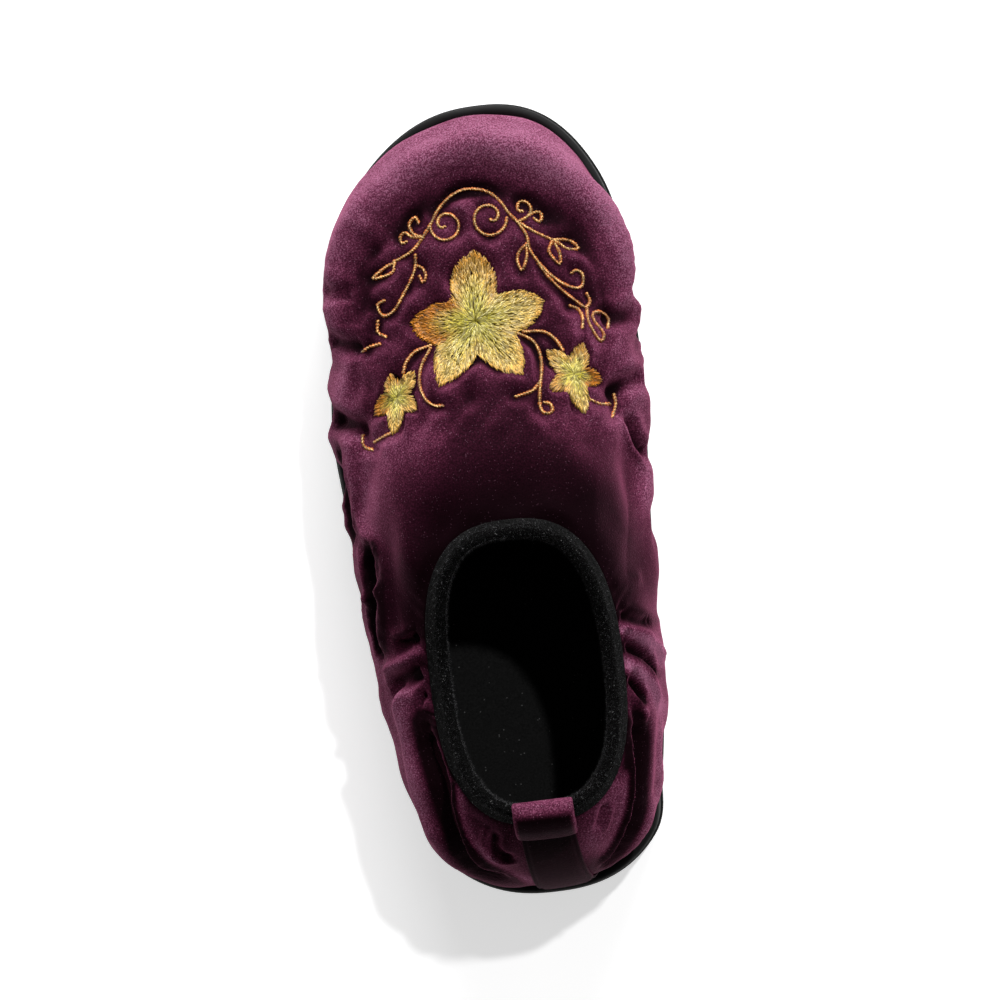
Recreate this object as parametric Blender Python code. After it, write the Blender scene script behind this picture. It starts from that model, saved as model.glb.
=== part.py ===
"""Padded slipper for the left foot: a velvet shell standing in a moulded cup sole.

Frame: +Y runs to the toe, +X to the inner (big toe) side, +Z up, floor at z = 0.
Tables and sizes are in millimetres. The meshes are in metres.
"""
import math
from collections import namedtuple

import bmesh
import bpy
import numpy as np

MM = 0.001
GAP = 0.3

# Sole: plan outline as a superellipse whose half width and sideways shift follow the sections
HALF_LENGTH = 135.7
OUTLINE_POWER = 2.4
SOLE_COLUMNS = 72

SoleSection = namedtuple("SoleSection", "y half_width shift underside deck lip")
SOLE_SECTIONS = (
    SoleSection(-136, 66.5, -1.6, 2.5, 16.5, 26.0),
    SoleSection(-120, 64.5, -2.2, 0.0, 16.0, 25.5),
    SoleSection(-100, 55.0, -2.8, 0.0, 15.5, 25.0),
    SoleSection(-75, 51.3, -3.2, 0.0, 15.2, 24.2),
    SoleSection(-48, 49.2, -4.4, 0.0, 15.0, 23.5),
    SoleSection(-20, 50.9, -5.2, 3.0, 14.5, 22.5),
    SoleSection(10, 53.3, -5.6, 0.0, 13.5, 21.5),
    SoleSection(30, 55.2, -5.2, 0.0, 13.0, 21.0),
    SoleSection(60, 56.0, -3.4, 0.0, 13.0, 21.0),
    SoleSection(85, 60.5, -2.6, 0.8, 13.5, 21.8),
    SoleSection(110, 63.2, -0.4, 4.5, 16.5, 25.0),
    SoleSection(136, 62.0, 3.8, 11.0, 21.0, 30.5),
)

# Side of the sole from the tread, over the lip and down to the footbed: inset from the outline,
# and the height above the line that it is measured from
SideStep = namedtuple("SideStep", "inset base rise")
SIDE_STEPS = (
    SideStep(4.0, "underside", 0.0),
    SideStep(1.0, "underside", 2.2),
    SideStep(0.0, "underside", 4.4),
    SideStep(0.0, "underside", 10.6),
    SideStep(1.8, "underside", 11.6),
    SideStep(1.8, "underside", 12.8),
    SideStep(1.0, "underside", 13.8),
    SideStep(1.4, "lip", -1.4),
    SideStep(2.2, "lip", -0.2),
    SideStep(3.2, "lip", 0.0),
    SideStep(4.4, "lip", -0.2),
    SideStep(5.2, "lip", -1.2),
    SideStep(5.2, "deck", 0.0),
)

TREAD_GROOVE_WIDTH = 3.0
TREAD_GROOVE_DEPTH = 1.7
TREAD_GROOVE_LENGTH = 160.0
TREAD_GROUPS = ((-112.0, -60.0, 6), (18.0, 58.0, 5))

# Footbed
INSOLE_STEPS = (
    SideStep(10.0, "deck", GAP),
    SideStep(10.0, "deck", 4.2),
    SideStep(10.9, "deck", 5.0),
    SideStep(24.0, "deck", 4.2),
)
INSOLE_COLUMNS = 56

# Upper: how far it bulges past the sole on each side, how high its widest line is over the lip, the
# height of the roof on the centre line, its drop to the sides, the width of its rounded shoulder, the
# roundness of that shoulder and the thickness of the padded wall
UpperSection = namedtuple(
    "UpperSection", "y outer_bulge inner_bulge belly ridge crown shoulder roundness wall"
)
UPPER_SECTIONS = (
    UpperSection(-136, -5.6, -5.6, 12.0, 92.0, 30.0, 45.0, 1.65, 6.5),
    UpperSection(-122, -2.6, -5.2, 12.2, 92.0, 30.0, 45.0, 1.65, 6.5),
    UpperSection(-100, 0.2, -1.8, 12.5, 92.0, 30.0, 45.0, 1.70, 6.5),
    UpperSection(-60, 0.8, 2.0, 13.0, 92.0, 30.0, 45.0, 1.80, 6.5),
    UpperSection(-25, 0.4, 1.5, 13.0, 91.0, 30.0, 46.0, 1.85, 7.0),
    UpperSection(-7, -0.8, 1.0, 13.0, 85.0, 29.0, 47.0, 1.85, 7.0),
    UpperSection(10, -1.6, 1.0, 13.0, 78.5, 26.0, 48.0, 1.90, 7.0),
    UpperSection(35, -1.2, 1.5, 13.0, 69.0, 20.0, 48.0, 1.95, 7.5),
    UpperSection(60, -1.0, 1.5, 12.5, 61.0, 13.0, 45.0, 2.00, 7.5),
    UpperSection(85, -1.4, 1.0, 11.5, 55.0, 8.0, 40.0, 2.00, 7.5),
    UpperSection(110, -3.0, -4.0, 9.5, 51.0, 4.0, 34.0, 2.10, 7.0),
    UpperSection(136, -6.5, -6.5, 8.0, 49.0, 2.0, 32.0, 2.10, 6.5),
)
UPPER_COLUMNS = 112
FOOT_INSET = 5.6
FOOT_RISE = 0.4
FOOT_WALL = 4.0
SWELL_STEPS = 4
ROOF_STEPS = 13
INNER_SWELL_STEPS = 2
INNER_ROOF_STEPS = 8
ROOF_SPACING = 1.6
REACH_PAST_COLLAR = 1.25
VAMP_START = -50.0
VAMP_FULL = 20.0
VAMP_TURNS_TO_RIM = 0.35

# Collar: plan outline of the upper's top rim, and its height and the lean of its binding along the foot
COLLAR_CENTRE_Y = -56.4
COLLAR_HALF_LENGTH = 50.1
COLLAR_HALF_WIDTH = 32.2
COLLAR_POWER = 2.6

CollarSection = namedtuple("CollarSection", "y height outer_lean inner_lean")
COLLAR_SECTIONS = (
    CollarSection(-106.5, 77.5, 24.0, 24.0),
    CollarSection(-85, 73.0, 30.0, 19.0),
    CollarSection(-55, 70.5, 32.0, 20.0),
    CollarSection(-22, 79.0, 26.0, 19.0),
    CollarSection(-6, 85.0, 18.0, 18.0),
)
BINDING_THICKNESS = 4.6
BINDING_HEIGHT = 9.0
BINDING_COLUMNS = 72
BINDING_ROUND_STEPS = 6

# Where each line up the wall starts round the sole and ends round the collar, as shares of the way
# from heel to toe and from the collar's back to its front
WallLine = namedtuple("WallLine", "round_sole round_collar")
WALL_LINES = (
    WallLine(0.00, 0.00),
    WallLine(0.17, 0.20),
    WallLine(0.36, 0.48),
    WallLine(0.52, 0.72),
    WallLine(0.67, 0.84),
    WallLine(1.00, 1.00),
)

# Tucks where the padding is drawn in along the sole seam: side (-1 outer, 1 inner), place along the
# foot, depth, half length along the seam and how far it reaches up the wall
Tuck = namedtuple("Tuck", "side y depth half_length reach")
TUCKS = (
    Tuck(1, 89, 1.8, 6, 20),
    Tuck(1, 66, 2.2, 6, 24),
    Tuck(1, 51, 1.8, 5, 20),
    Tuck(1, 35, 2.0, 6, 24),
    Tuck(1, 12, 3.0, 7, 30),
    Tuck(1, -12, 2.0, 7, 24),
    Tuck(1, -38, 1.6, 8, 20),
    Tuck(-1, 72, 1.6, 6, 20),
    Tuck(-1, 55, 1.6, 6, 20),
    Tuck(-1, 38, 2.2, 7, 24),
    Tuck(-1, 16, 3.6, 8, 28),
    Tuck(-1, -8, 2.2, 7, 26),
    Tuck(-1, -30, 1.8, 8, 24),
    Tuck(-1, -54, 1.8, 8, 24),
)

# Long folds seen from above: depth (below 0 for a ridge), half width and the plan points (x, y) that each
# one runs through
Fold = namedtuple("Fold", "name depth half_width route")
FOLDS = (
    Fold("heel outer crescent", 4.0, 6.0, ((-28, -76), (-29, -97), (-25, -115), (-13, -126))),
    Fold("heel inner crescent", 4.0, 6.0, ((30, -86), (28, -103), (22, -116), (16, -125))),
    Fold("outer flank trough", 3.0, 5.0, ((-48, 2), (-47, -16), (-48, -31), (-47, -54))),
    Fold("inner flank trough", 2.2, 6.0, ((44, -20), (42, -42), (41, -62))),
    Fold("toe quilting hollow", 3.0, 8.0,
         ((-41, 64), (-38, 82), (-23, 98), (2, 106), (24, 97), (37, 82), (42, 64))),
    Fold("toe roll", -2.4, 8.0,
         ((-48, 74), (-36, 104), (-16, 115), (3, 118), (21, 114), (37, 102), (48, 76))),
)
FOLD_SAMPLES = 60
FOLD_SHOULDER = 0.35
FOLD_SHOULDER_PLACE = 1.7
FOLD_SHOULDER_TIGHTNESS = 2.0
TUCK_STARTS_OVER_LIP = 2.0
TUCK_FULL_OVER_LIP = 9.0
TUCK_FADES_FROM = 0.4
FLAT_BELOW_RIM = 9.0
SMOOTH_HEEL_HALF_WIDTH = 12.0
SMOOTH_HEEL_FADE = 7.0
SMOOTH_HEEL_END = -95.0

# Heel strip and pull loop
STRIP_THICKNESS = 1.2
STRIP_HALF_WIDTH_BOTTOM = 10.0
STRIP_HALF_WIDTH_TOP = 8.9
STRIP_BOTTOM_RISE = 2.5
STRIP_TOP = 75.0
STRIP_SLANT = 3.2
STRIP_LIFT = 0.5
STRIP_ROWS = 12
STRIP_COLUMNS = 6
HEEL_TURNS = 0.04
HEEL_LINES = 81

LOOP_WIDTH = 19.0
LOOP_THICKNESS = 1.6
LOOP_CENTRE_X = 0.6
LOOP_POINTS = 28
LoopPoint = namedtuple("LoopPoint", "y z")
LOOP_ROUTE = (
    LoopPoint(-109.2, 77.9),
    LoopPoint(-107.6, 78.6),
    LoopPoint(-106.4, 81.0),
    LoopPoint(-105.2, 84.2),
    LoopPoint(-103.2, 86.7),
    LoopPoint(-100.0, 87.8),
    LoopPoint(-98.6, 89.4),
    LoopPoint(-99.6, 91.2),
    LoopPoint(-102.8, 91.3),
    LoopPoint(-106.2, 89.0),
    LoopPoint(-108.4, 85.0),
    LoopPoint(-109.6, 80.8),
)

# Materials
Look = namedtuple("Look", "name colour roughness")
RUBBER = Look("black_rubber", (0.020, 0.020, 0.021), 0.55)
FELT = Look("black_felt", (0.012, 0.012, 0.012), 0.95)
VELVET = Look("plum_velvet", (0.075, 0.012, 0.038), 0.80)
FLEECE = Look("black_fleece", (0.012, 0.012, 0.013), 0.95)
RIBBON = Look("velvet_ribbon", (0.060, 0.010, 0.030), 0.80)

FINE = 721
SHARP_ANGLE = 40.0


def smooth_curve(xs, ys):
    """Smooth function through the given points that never overshoots between them."""
    xs = np.asarray(xs, float)
    ys = np.asarray(ys, float)
    step = np.diff(xs)
    slope = np.diff(ys) / step
    tangent = np.concatenate((slope[:1], np.zeros(len(slope) - 1), slope[-1:]))
    product = slope[:-1] * slope[1:]
    total = np.where(product > 0, slope[:-1] + slope[1:], 1.0)
    tangent[1:-1] = np.where(product > 0, 2.0 * product / total, 0.0)

    def value(x):
        x = np.clip(x, xs[0], xs[-1])
        i = np.clip(np.searchsorted(xs, x) - 1, 0, len(step) - 1)
        t = (x - xs[i]) / step[i]
        rise = ys[i + 1] - ys[i]
        start = tangent[i] * step[i]
        end = tangent[i + 1] * step[i]
        return ys[i] + t * (start + t * (3 * rise - 2 * start - end + t * (start + end - 2 * rise)))

    return value


def column(rows, name, key="y"):
    """One column of a table as a smooth function of its key column."""
    return smooth_curve([getattr(row, key) for row in rows], [getattr(row, name) for row in rows])


half_width = column(SOLE_SECTIONS, "half_width")
shift = column(SOLE_SECTIONS, "shift")
sole_heights = {name: column(SOLE_SECTIONS, name) for name in ("underside", "deck", "lip")}
lip = sole_heights["lip"]
deck = sole_heights["deck"]
upper = {name: column(UPPER_SECTIONS, name) for name in UpperSection._fields[1:]}
collar = {name: column(COLLAR_SECTIONS, name) for name in CollarSection._fields[1:]}
collar_share = column(WALL_LINES, "round_collar", key="round_sole")


def signed_power(value, power):
    return np.sign(value) * np.abs(value) ** power


def smooth_step(low, high, value):
    t = np.clip((value - low) / (high - low), 0.0, 1.0)
    return t * t * (3.0 - 2.0 * t)


def evenly(points, count):
    """The polyline read again at evenly spaced places along its length."""
    length = np.concatenate(([0.0], np.cumsum(np.linalg.norm(np.diff(points, axis=0), axis=1))))
    places = np.linspace(0.0, length[-1], count)
    return np.column_stack([np.interp(places, length, points[:, axis]) for axis in range(points.shape[1])])


def sole_half(side):
    """Plan edge of the sole from heel to toe, on the outer side (-1) or the inner side (1)."""
    angle = np.linspace(0.0, math.pi, FINE)
    y = -HALF_LENGTH * signed_power(np.cos(angle), 2.0 / OUTLINE_POWER)
    x = shift(y) + side * half_width(y) * signed_power(np.sin(angle), 2.0 / OUTLINE_POWER)
    return evenly(np.column_stack((x, y)), FINE)


def collar_half(side):
    """Plan edge of the collar from its back to its front."""
    angle = np.linspace(0.0, math.pi, FINE)
    along = -COLLAR_HALF_LENGTH * signed_power(np.cos(angle), 2.0 / COLLAR_POWER)
    across = side * COLLAR_HALF_WIDTH * signed_power(np.sin(angle), 2.0 / COLLAR_POWER)
    return evenly(np.column_stack((across, along + COLLAR_CENTRE_Y)), FINE)


class Ring:
    """Closed plan curve, read by turn: 0 at the heel, 0.5 at the toe, the outer side first."""

    def __init__(self, half):
        outer = half(-1)
        inner = half(1)
        self.points = np.vstack((outer[:-1], inner[:0:-1]))
        along = np.roll(self.points, -1, axis=0) - np.roll(self.points, 1, axis=0)
        inward = np.column_stack((along[:, 1], -along[:, 0]))
        self.inward = inward / np.linalg.norm(inward, axis=1)[:, None]
        self.turns = np.arange(len(self.points)) / len(self.points)

    def read(self, values, turn):
        x = np.interp(turn, self.turns, values[:, 0], period=1.0)
        y = np.interp(turn, self.turns, values[:, 1], period=1.0)
        return np.column_stack((x, y))

    def at(self, turn, inset=0.0):
        """Plan points at the turns, moved inward by the inset."""
        inset = np.broadcast_to(inset, np.shape(turn))
        return self.read(self.points, turn) + self.read(self.inward, turn) * inset[:, None]


sole_ring = Ring(sole_half)
collar_ring = Ring(collar_half)


def collar_turn(turn):
    """Turn on the collar of the wall line that starts at this turn on the sole."""
    share = np.where(turn <= 0.5, 2.0 * turn, 2.0 - 2.0 * turn)
    ended = collar_share(share) / 2.0
    return np.where(turn <= 0.5, ended, 1.0 - ended)


def by_side(turn, outer_values, inner_values):
    return np.where(turn <= 0.5, outer_values, inner_values)


def collar_frame(turn):
    """Rim points of the collar, with the unit directions across the binding and up it."""
    plan = collar_ring.at(turn)
    height = collar["height"](plan[:, 1])
    outer_lean = collar["outer_lean"](plan[:, 1])
    inner_lean = collar["inner_lean"](plan[:, 1])
    lean = np.radians(by_side(turn, outer_lean, inner_lean))
    inward = collar_ring.read(collar_ring.inward, turn)
    across = np.column_stack((inward * np.cos(lean)[:, None], -np.sin(lean)))
    upward = np.column_stack((inward * np.sin(lean)[:, None], np.cos(lean)))
    return np.column_stack((plan, height)), across, upward


def dome(share, power):
    """Rounded rise from 0 at the edge to 1 where the shoulder ends."""
    share = np.clip(share, 0.0, 1.0)
    return (1.0 - (1.0 - share) ** power) ** (1.0 / power)


def wall_lines(turn, foot_inset, foot_rise, depth, rim, swell_steps, roof_steps):
    """Lines up the wall at the turns, from the foot in the cup to the rim, as an array (turn, step, xyz).

    The depth is the distance under the outer face: 0 for the outer face itself.
    """
    edge = sole_ring.at(turn)
    y = edge[:, 1]
    bulge = by_side(turn, upper["outer_bulge"](y), upper["inner_bulge"](y))
    belly = sole_ring.at(turn, depth - bulge)
    belly_z = lip(y) + upper["belly"](y)
    foot = sole_ring.at(turn, foot_inset)
    foot_z = lip(y) + foot_rise
    power = upper["roundness"](y)
    span = np.linalg.norm(rim[:, :2] - belly, axis=1)
    shoulder = np.minimum(upper["shoulder"](y), REACH_PAST_COLLAR * span)
    full = dome(span / shoulder, power)
    vamp = smooth_step(VAMP_START, VAMP_FULL, y)

    rows = [np.column_stack((foot, deck(y) + GAP)), np.column_stack((foot, foot_z))]
    for step in range(1, swell_steps + 1):
        angle = 0.5 * math.pi * step / swell_steps
        plan = foot + (belly - foot) * math.sin(angle)
        rows.append(np.column_stack((plan, foot_z + (belly_z - foot_z) * (1.0 - math.cos(angle)))))
    for step in range(1, roof_steps + 1):
        share = (step / roof_steps) ** ROOF_SPACING
        plan = belly + (rim[:, :2] - belly) * share
        across = (plan[:, 0] - shift(plan[:, 1])) / half_width(plan[:, 1])
        sheet = upper["ridge"](plan[:, 1]) - upper["crown"](plan[:, 1]) * across ** 2 - depth
        blend = np.maximum(1.0 - vamp, smooth_step(VAMP_TURNS_TO_RIM, 1.0, share))
        top = sheet + (rim[:, 2] - sheet) * blend
        rise = dome(span * share / shoulder, power) / full
        rows.append(np.column_stack((plan, belly_z + (top - belly_z) * rise)))
    return np.stack(rows, axis=1)


def surface_normals(grid):
    """Outward unit normals of a grid that closes round its first axis."""
    around = np.roll(grid, -1, axis=0) - np.roll(grid, 1, axis=0)
    up = np.gradient(grid, axis=1)
    normal = np.cross(up, around)
    return normal / np.maximum(np.linalg.norm(normal, axis=2), 1e-9)[..., None]


def outer_face(turn):
    """Outer face of the wall before any fold."""
    rim, _, _ = collar_frame(collar_turn(turn))
    return wall_lines(turn, FOOT_INSET, FOOT_RISE, 0.0, rim, SWELL_STEPS, ROOF_STEPS)


def inner_face(turn):
    """Inner face of the wall, smooth under the folds."""
    edge_y = sole_ring.at(turn)[:, 1]
    rim, across, _ = collar_frame(collar_turn(turn))
    depth = upper["wall"](edge_y)
    inner_rim = rim + across * BINDING_THICKNESS
    foot = FOOT_INSET + FOOT_WALL
    return wall_lines(turn, foot, 0.0, depth, inner_rim, INNER_SWELL_STEPS, INNER_ROOF_STEPS)


def smooth_route(points, count, closed=False):
    """Curve through hand-placed points, read at evenly spaced places."""
    points = np.asarray(points, float)
    if closed:
        points = np.vstack((points[-2:], points, points[:3]))
    knots = np.arange(len(points))
    places = np.linspace(0, len(points) - 1, FINE)
    if closed:
        places = np.linspace(2, len(points) - 3, FINE)
    curve = np.column_stack([smooth_curve(knots, values)(places) for values in points.T])
    return evenly(curve, count + 1)[:-1] if closed else evenly(curve, count)


def fold_heights(grid, face):
    """How far each point of the grid stands out of the face because of the tucks and the long folds."""
    edge = grid[:, 0]
    height = np.zeros(grid.shape[:2])
    over_lip = grid[..., 2] - lip(edge[:, 1])[:, None]
    for tuck in TUCKS:
        near = np.exp(-((edge[:, 1] - tuck.y) / tuck.half_length) ** 2) * (edge[:, 0] * tuck.side > 0)
        begins = smooth_step(TUCK_STARTS_OVER_LIP, TUCK_FULL_OVER_LIP, over_lip)
        ends = smooth_step(TUCK_FADES_FROM * tuck.reach, tuck.reach, over_lip)
        height -= tuck.depth * near[:, None] * begins * (1.0 - ends)
    roof = face[:, SWELL_STEPS + 1:].reshape(-1, 3)
    for fold in FOLDS:
        plan = smooth_route(fold.route, FOLD_SAMPLES)
        nearest = np.argmin(np.linalg.norm(roof[None, :, :2] - plan[:, None], axis=2), axis=1)
        route = np.column_stack((plan, roof[nearest, 2]))
        distance = np.linalg.norm(grid[:, :, None] - route, axis=3).min(axis=2) / fold.half_width
        past_shoulder = distance - FOLD_SHOULDER_PLACE
        shoulder = FOLD_SHOULDER * np.exp(-FOLD_SHOULDER_TIGHTNESS * past_shoulder ** 2)
        height += fold.depth * (shoulder - np.exp(-distance ** 2))
    across = np.abs(grid[..., 0] - LOOP_CENTRE_X) - SMOOTH_HEEL_HALF_WIDTH
    heel = (1.0 - smooth_step(0.0, SMOOTH_HEEL_FADE, across)) * (grid[..., 1] < SMOOTH_HEEL_END)
    from_rim = np.linalg.norm(grid - grid[:, -1:], axis=2)
    return height * (1.0 - heel) * smooth_step(0.0, FLAT_BELOW_RIM, from_rim)


def even_turns(count):
    return np.arange(count) / count


def new_piece(name, points, faces, material):
    """Mesh object from points in millimetres, with its faces turned outward."""
    mesh = bpy.data.meshes.new(name)
    mesh.from_pydata((np.asarray(points) * MM).tolist(), [], faces)
    work = bmesh.new()
    work.from_mesh(mesh)
    bmesh.ops.recalc_face_normals(work, faces=work.faces)
    work.to_mesh(mesh)
    work.free()
    mesh.materials.append(material)
    mesh.shade_smooth()
    mesh.set_sharp_from_angle(angle=math.radians(SHARP_ANGLE))
    piece = bpy.data.objects.new(name, mesh)
    parts.objects.link(piece)
    piece.parent = centre
    return piece


def tube_faces(columns, steps):
    """Faces of a grid that closes in both directions."""
    faces = []
    for c in range(columns):
        here = c * steps
        beside = (c + 1) % columns * steps
        for s in range(steps):
            above = (s + 1) % steps
            faces.append((here + s, beside + s, beside + above, here + above))
    return faces


def new_tube(name, grid, material):
    columns, steps, _ = grid.shape
    return new_piece(name, grid.reshape(-1, 3), tube_faces(columns, steps), material)


def capped_faces(columns, steps):
    """Faces of a stack of rings, closed at both ends by strips from the outer to the inner side."""
    faces = []
    for c in range(columns):
        here = c * steps
        beside = (c + 1) % columns * steps
        for s in range(steps - 1):
            faces.append((here + s, beside + s, beside + s + 1, here + s + 1))
    for end in (0, steps - 1):
        for c in range(columns // 2):
            strip = (c, c + 1, columns - c - 1, (columns - c) % columns)
            corners = list(dict.fromkeys(strip))
            faces.append(tuple(corner * steps + end for corner in corners))
    return faces


def new_stack(name, side_steps, columns, material):
    """Solid inside the sole's outline, built up from the rings of its side."""
    turn = even_turns(columns)
    rings = []
    for step in side_steps:
        plan = sole_ring.at(turn, step.inset)
        rings.append(np.column_stack((plan, sole_heights[step.base](plan[:, 1]) + step.rise)))
    points = np.stack(rings, axis=1).reshape(-1, 3)
    return new_piece(name, points, capped_faces(columns, len(side_steps)), material)


def cut_tread(sole):
    """Grooves across the flats of the heel and the forefoot."""
    size = (TREAD_GROOVE_LENGTH * MM, TREAD_GROOVE_WIDTH * MM, 2.0 * TREAD_GROOVE_DEPTH * MM)
    for first, last, count in TREAD_GROUPS:
        for y in np.linspace(first, last, count):
            bpy.ops.mesh.primitive_cube_add(size=1.0, location=(0.0, y * MM, 0.0))
            cutter = bpy.context.object
            cutter.name = "tread_groove"
            cutter.scale = size
            cutter.hide_render = True
            cutter.display_type = "WIRE"
            for owner in cutter.users_collection:
                owner.objects.unlink(cutter)
            cutters.objects.link(cutter)
            cutter.parent = centre
            cut = sole.modifiers.new("tread groove", "BOOLEAN")
            cut.operation = "DIFFERENCE"
            cut.solver = "EXACT"
            cut.object = cutter


def build_sole():
    cut_tread(new_stack("sole", SIDE_STEPS, SOLE_COLUMNS, plain_material(RUBBER)))


def build_insole():
    new_stack("insole", INSOLE_STEPS, INSOLE_COLUMNS, plain_material(FELT))


def build_upper():
    """Hollow padded shell: the folded outer face, the rim, the smooth inner face and the foot."""
    turn = even_turns(UPPER_COLUMNS)
    face = outer_face(turn)
    outside = face + surface_normals(face) * fold_heights(face, face)[..., None]
    section = np.concatenate((outside, inner_face(turn)[:, ::-1]), axis=1)
    new_tube("upper", section, plain_material(VELVET))


def build_binding():
    """Rounded band standing on the upper's rim and leaning in over the opening."""
    rim, across, upward = collar_frame(even_turns(BINDING_COLUMNS))
    radius = 0.5 * BINDING_THICKNESS
    profile = [(0.0, GAP)]
    for step in range(BINDING_ROUND_STEPS + 1):
        angle = math.pi * step / BINDING_ROUND_STEPS
        height = BINDING_HEIGHT - radius * (1.0 - math.sin(angle))
        profile.append((radius * (1.0 - math.cos(angle)), height))
    profile.append((BINDING_THICKNESS, GAP))
    grid = np.stack([rim + across * a + upward * b for a, b in profile], axis=1)
    new_tube("collar_binding", grid, plain_material(FLEECE))


def heel_face(x, z):
    """Point of the outer face at the back, at this sideways place and height."""
    turn = np.linspace(-HEEL_TURNS, HEEL_TURNS, HEEL_LINES) % 1.0
    face = outer_face(turn)
    at_height = []
    for line in face[:, 1:]:
        at_height.append((np.interp(z, line[:, 2], line[:, 0]), np.interp(z, line[:, 2], line[:, 1])))
    level = np.array(at_height)
    order = np.argsort(level[:, 0])
    return np.array((x, np.interp(x, level[order, 0], level[order, 1]), z))


def build_heel_strip(material):
    """Velvet strip over the back seam, laid on the upper's outer face."""
    bottom = lip(-HALF_LENGTH) + STRIP_BOTTOM_RISE
    heights = np.linspace(bottom, STRIP_TOP, STRIP_ROWS)
    layers = []
    for z in heights:
        share = (z - bottom) / (STRIP_TOP - bottom)
        half = STRIP_HALF_WIDTH_BOTTOM + (STRIP_HALF_WIDTH_TOP - STRIP_HALF_WIDTH_BOTTOM) * share
        middle = LOOP_CENTRE_X + STRIP_SLANT * (1.0 - share)
        layers.append([heel_face(middle + x, z) for x in np.linspace(-half, half, STRIP_COLUMNS)])
    face = np.array(layers)
    along = np.gradient(face, axis=1)
    up = np.gradient(face, axis=0)
    normal = np.cross(along, up)
    normal[..., 2] = np.maximum(normal[..., 2], 0.0)
    normal /= np.linalg.norm(normal, axis=2)[..., None]
    under = face + normal * STRIP_LIFT
    over = face + normal * (STRIP_LIFT + STRIP_THICKNESS)
    section = np.concatenate((under, over[:, ::-1]), axis=1)
    rows, steps, _ = section.shape
    faces = tube_faces(rows, steps)[:(rows - 1) * steps]
    for row in (0, rows - 1):
        for step in range(STRIP_COLUMNS - 1):
            pair = (step, step + 1, steps - step - 2, steps - step - 1)
            faces.append(tuple(row * steps + corner for corner in pair))
    new_piece("heel_strip", section.reshape(-1, 3), faces, material)


def build_pull_loop(material):
    """Ribbon folded into a flat loop that leans over the collar."""
    route = smooth_route(LOOP_ROUTE, LOOP_POINTS, closed=True)
    along = np.roll(route, -1, axis=0) - np.roll(route, 1, axis=0)
    side = np.column_stack((-along[:, 1], along[:, 0]))
    side /= np.linalg.norm(side, axis=1)[:, None]
    half = 0.5 * LOOP_THICKNESS
    corners = []
    for x, offset in ((-0.5, -half), (0.5, -half), (0.5, half), (-0.5, half)):
        plan = route + side * offset
        corners.append(np.column_stack((np.full(len(plan), LOOP_CENTRE_X + x * LOOP_WIDTH), plan)))
    new_tube("pull_loop", np.stack(corners, axis=1), material)


def plain_material(look):
    material = bpy.data.materials.new(look.name)
    material.use_nodes = True
    shader = material.node_tree.nodes["Principled BSDF"]
    shader.inputs["Base Color"].default_value = (*look.colour, 1.0)
    shader.inputs["Roughness"].default_value = look.roughness
    shader.inputs["Metallic"].default_value = 0.0
    return material


def new_collection(name):
    collection = bpy.data.collections.new(name)
    bpy.context.scene.collection.children.link(collection)
    return collection


def centre_on_origin():
    """Move the whole slipper so that its box stands centred on the origin."""
    meshes = [piece.data for piece in parts.objects if piece.type == "MESH"]
    corners = np.array([vertex.co for mesh in meshes for vertex in mesh.vertices])
    middle = 0.5 * (corners.min(axis=0) + corners.max(axis=0))
    centre.location = (-middle[0], -middle[1], 0.0)


for old in list(bpy.data.objects):
    bpy.data.objects.remove(old, do_unlink=True)

parts = new_collection("padded_slipper")
cutters = new_collection("tread_cutters")
centre = bpy.data.objects.new("slipper_centre", None)
parts.objects.link(centre)

build_sole()
build_insole()
build_upper()
build_binding()
velvet_ribbon = plain_material(RIBBON)
build_heel_strip(velvet_ribbon)
build_pull_loop(velvet_ribbon)
centre_on_origin()
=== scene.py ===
"""Looks of the left padded slipper: quilted velvet, embroidery, fleece collar, felt footbed, rubber sole.

Frame: +Y runs to the toe, +X to the inner (big toe) side, +Z up. Tables and sizes are in millimetres,
and place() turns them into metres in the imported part's frame.
"""

import math
from collections import namedtuple

import bmesh
import bpy
import numpy as np
from mathutils import Matrix, Vector
from mathutils.bvhtree import BVHTree


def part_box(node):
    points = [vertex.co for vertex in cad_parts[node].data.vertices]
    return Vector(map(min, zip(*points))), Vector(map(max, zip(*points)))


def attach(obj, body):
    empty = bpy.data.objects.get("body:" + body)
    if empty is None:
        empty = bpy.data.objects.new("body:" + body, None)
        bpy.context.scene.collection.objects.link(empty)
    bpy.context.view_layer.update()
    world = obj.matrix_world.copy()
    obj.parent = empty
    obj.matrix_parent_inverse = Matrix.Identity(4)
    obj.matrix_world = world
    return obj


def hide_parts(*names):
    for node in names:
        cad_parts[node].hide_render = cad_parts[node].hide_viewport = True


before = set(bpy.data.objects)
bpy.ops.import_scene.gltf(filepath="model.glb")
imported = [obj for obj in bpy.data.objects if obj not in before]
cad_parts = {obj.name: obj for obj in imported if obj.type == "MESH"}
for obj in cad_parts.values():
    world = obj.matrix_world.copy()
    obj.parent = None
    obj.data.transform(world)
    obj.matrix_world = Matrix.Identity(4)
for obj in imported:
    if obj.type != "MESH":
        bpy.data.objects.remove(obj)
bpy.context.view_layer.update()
chance = np.random.default_rng(7)

MM = 0.001
GAP = 0.3

# Sole: plan outline as a superellipse whose half width and sideways shift follow the sections
HALF_LENGTH = 135.7
OUTLINE_POWER = 2.4
CAD_SOLE_COLUMNS = 72
SOLE_COLUMNS = 288

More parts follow.
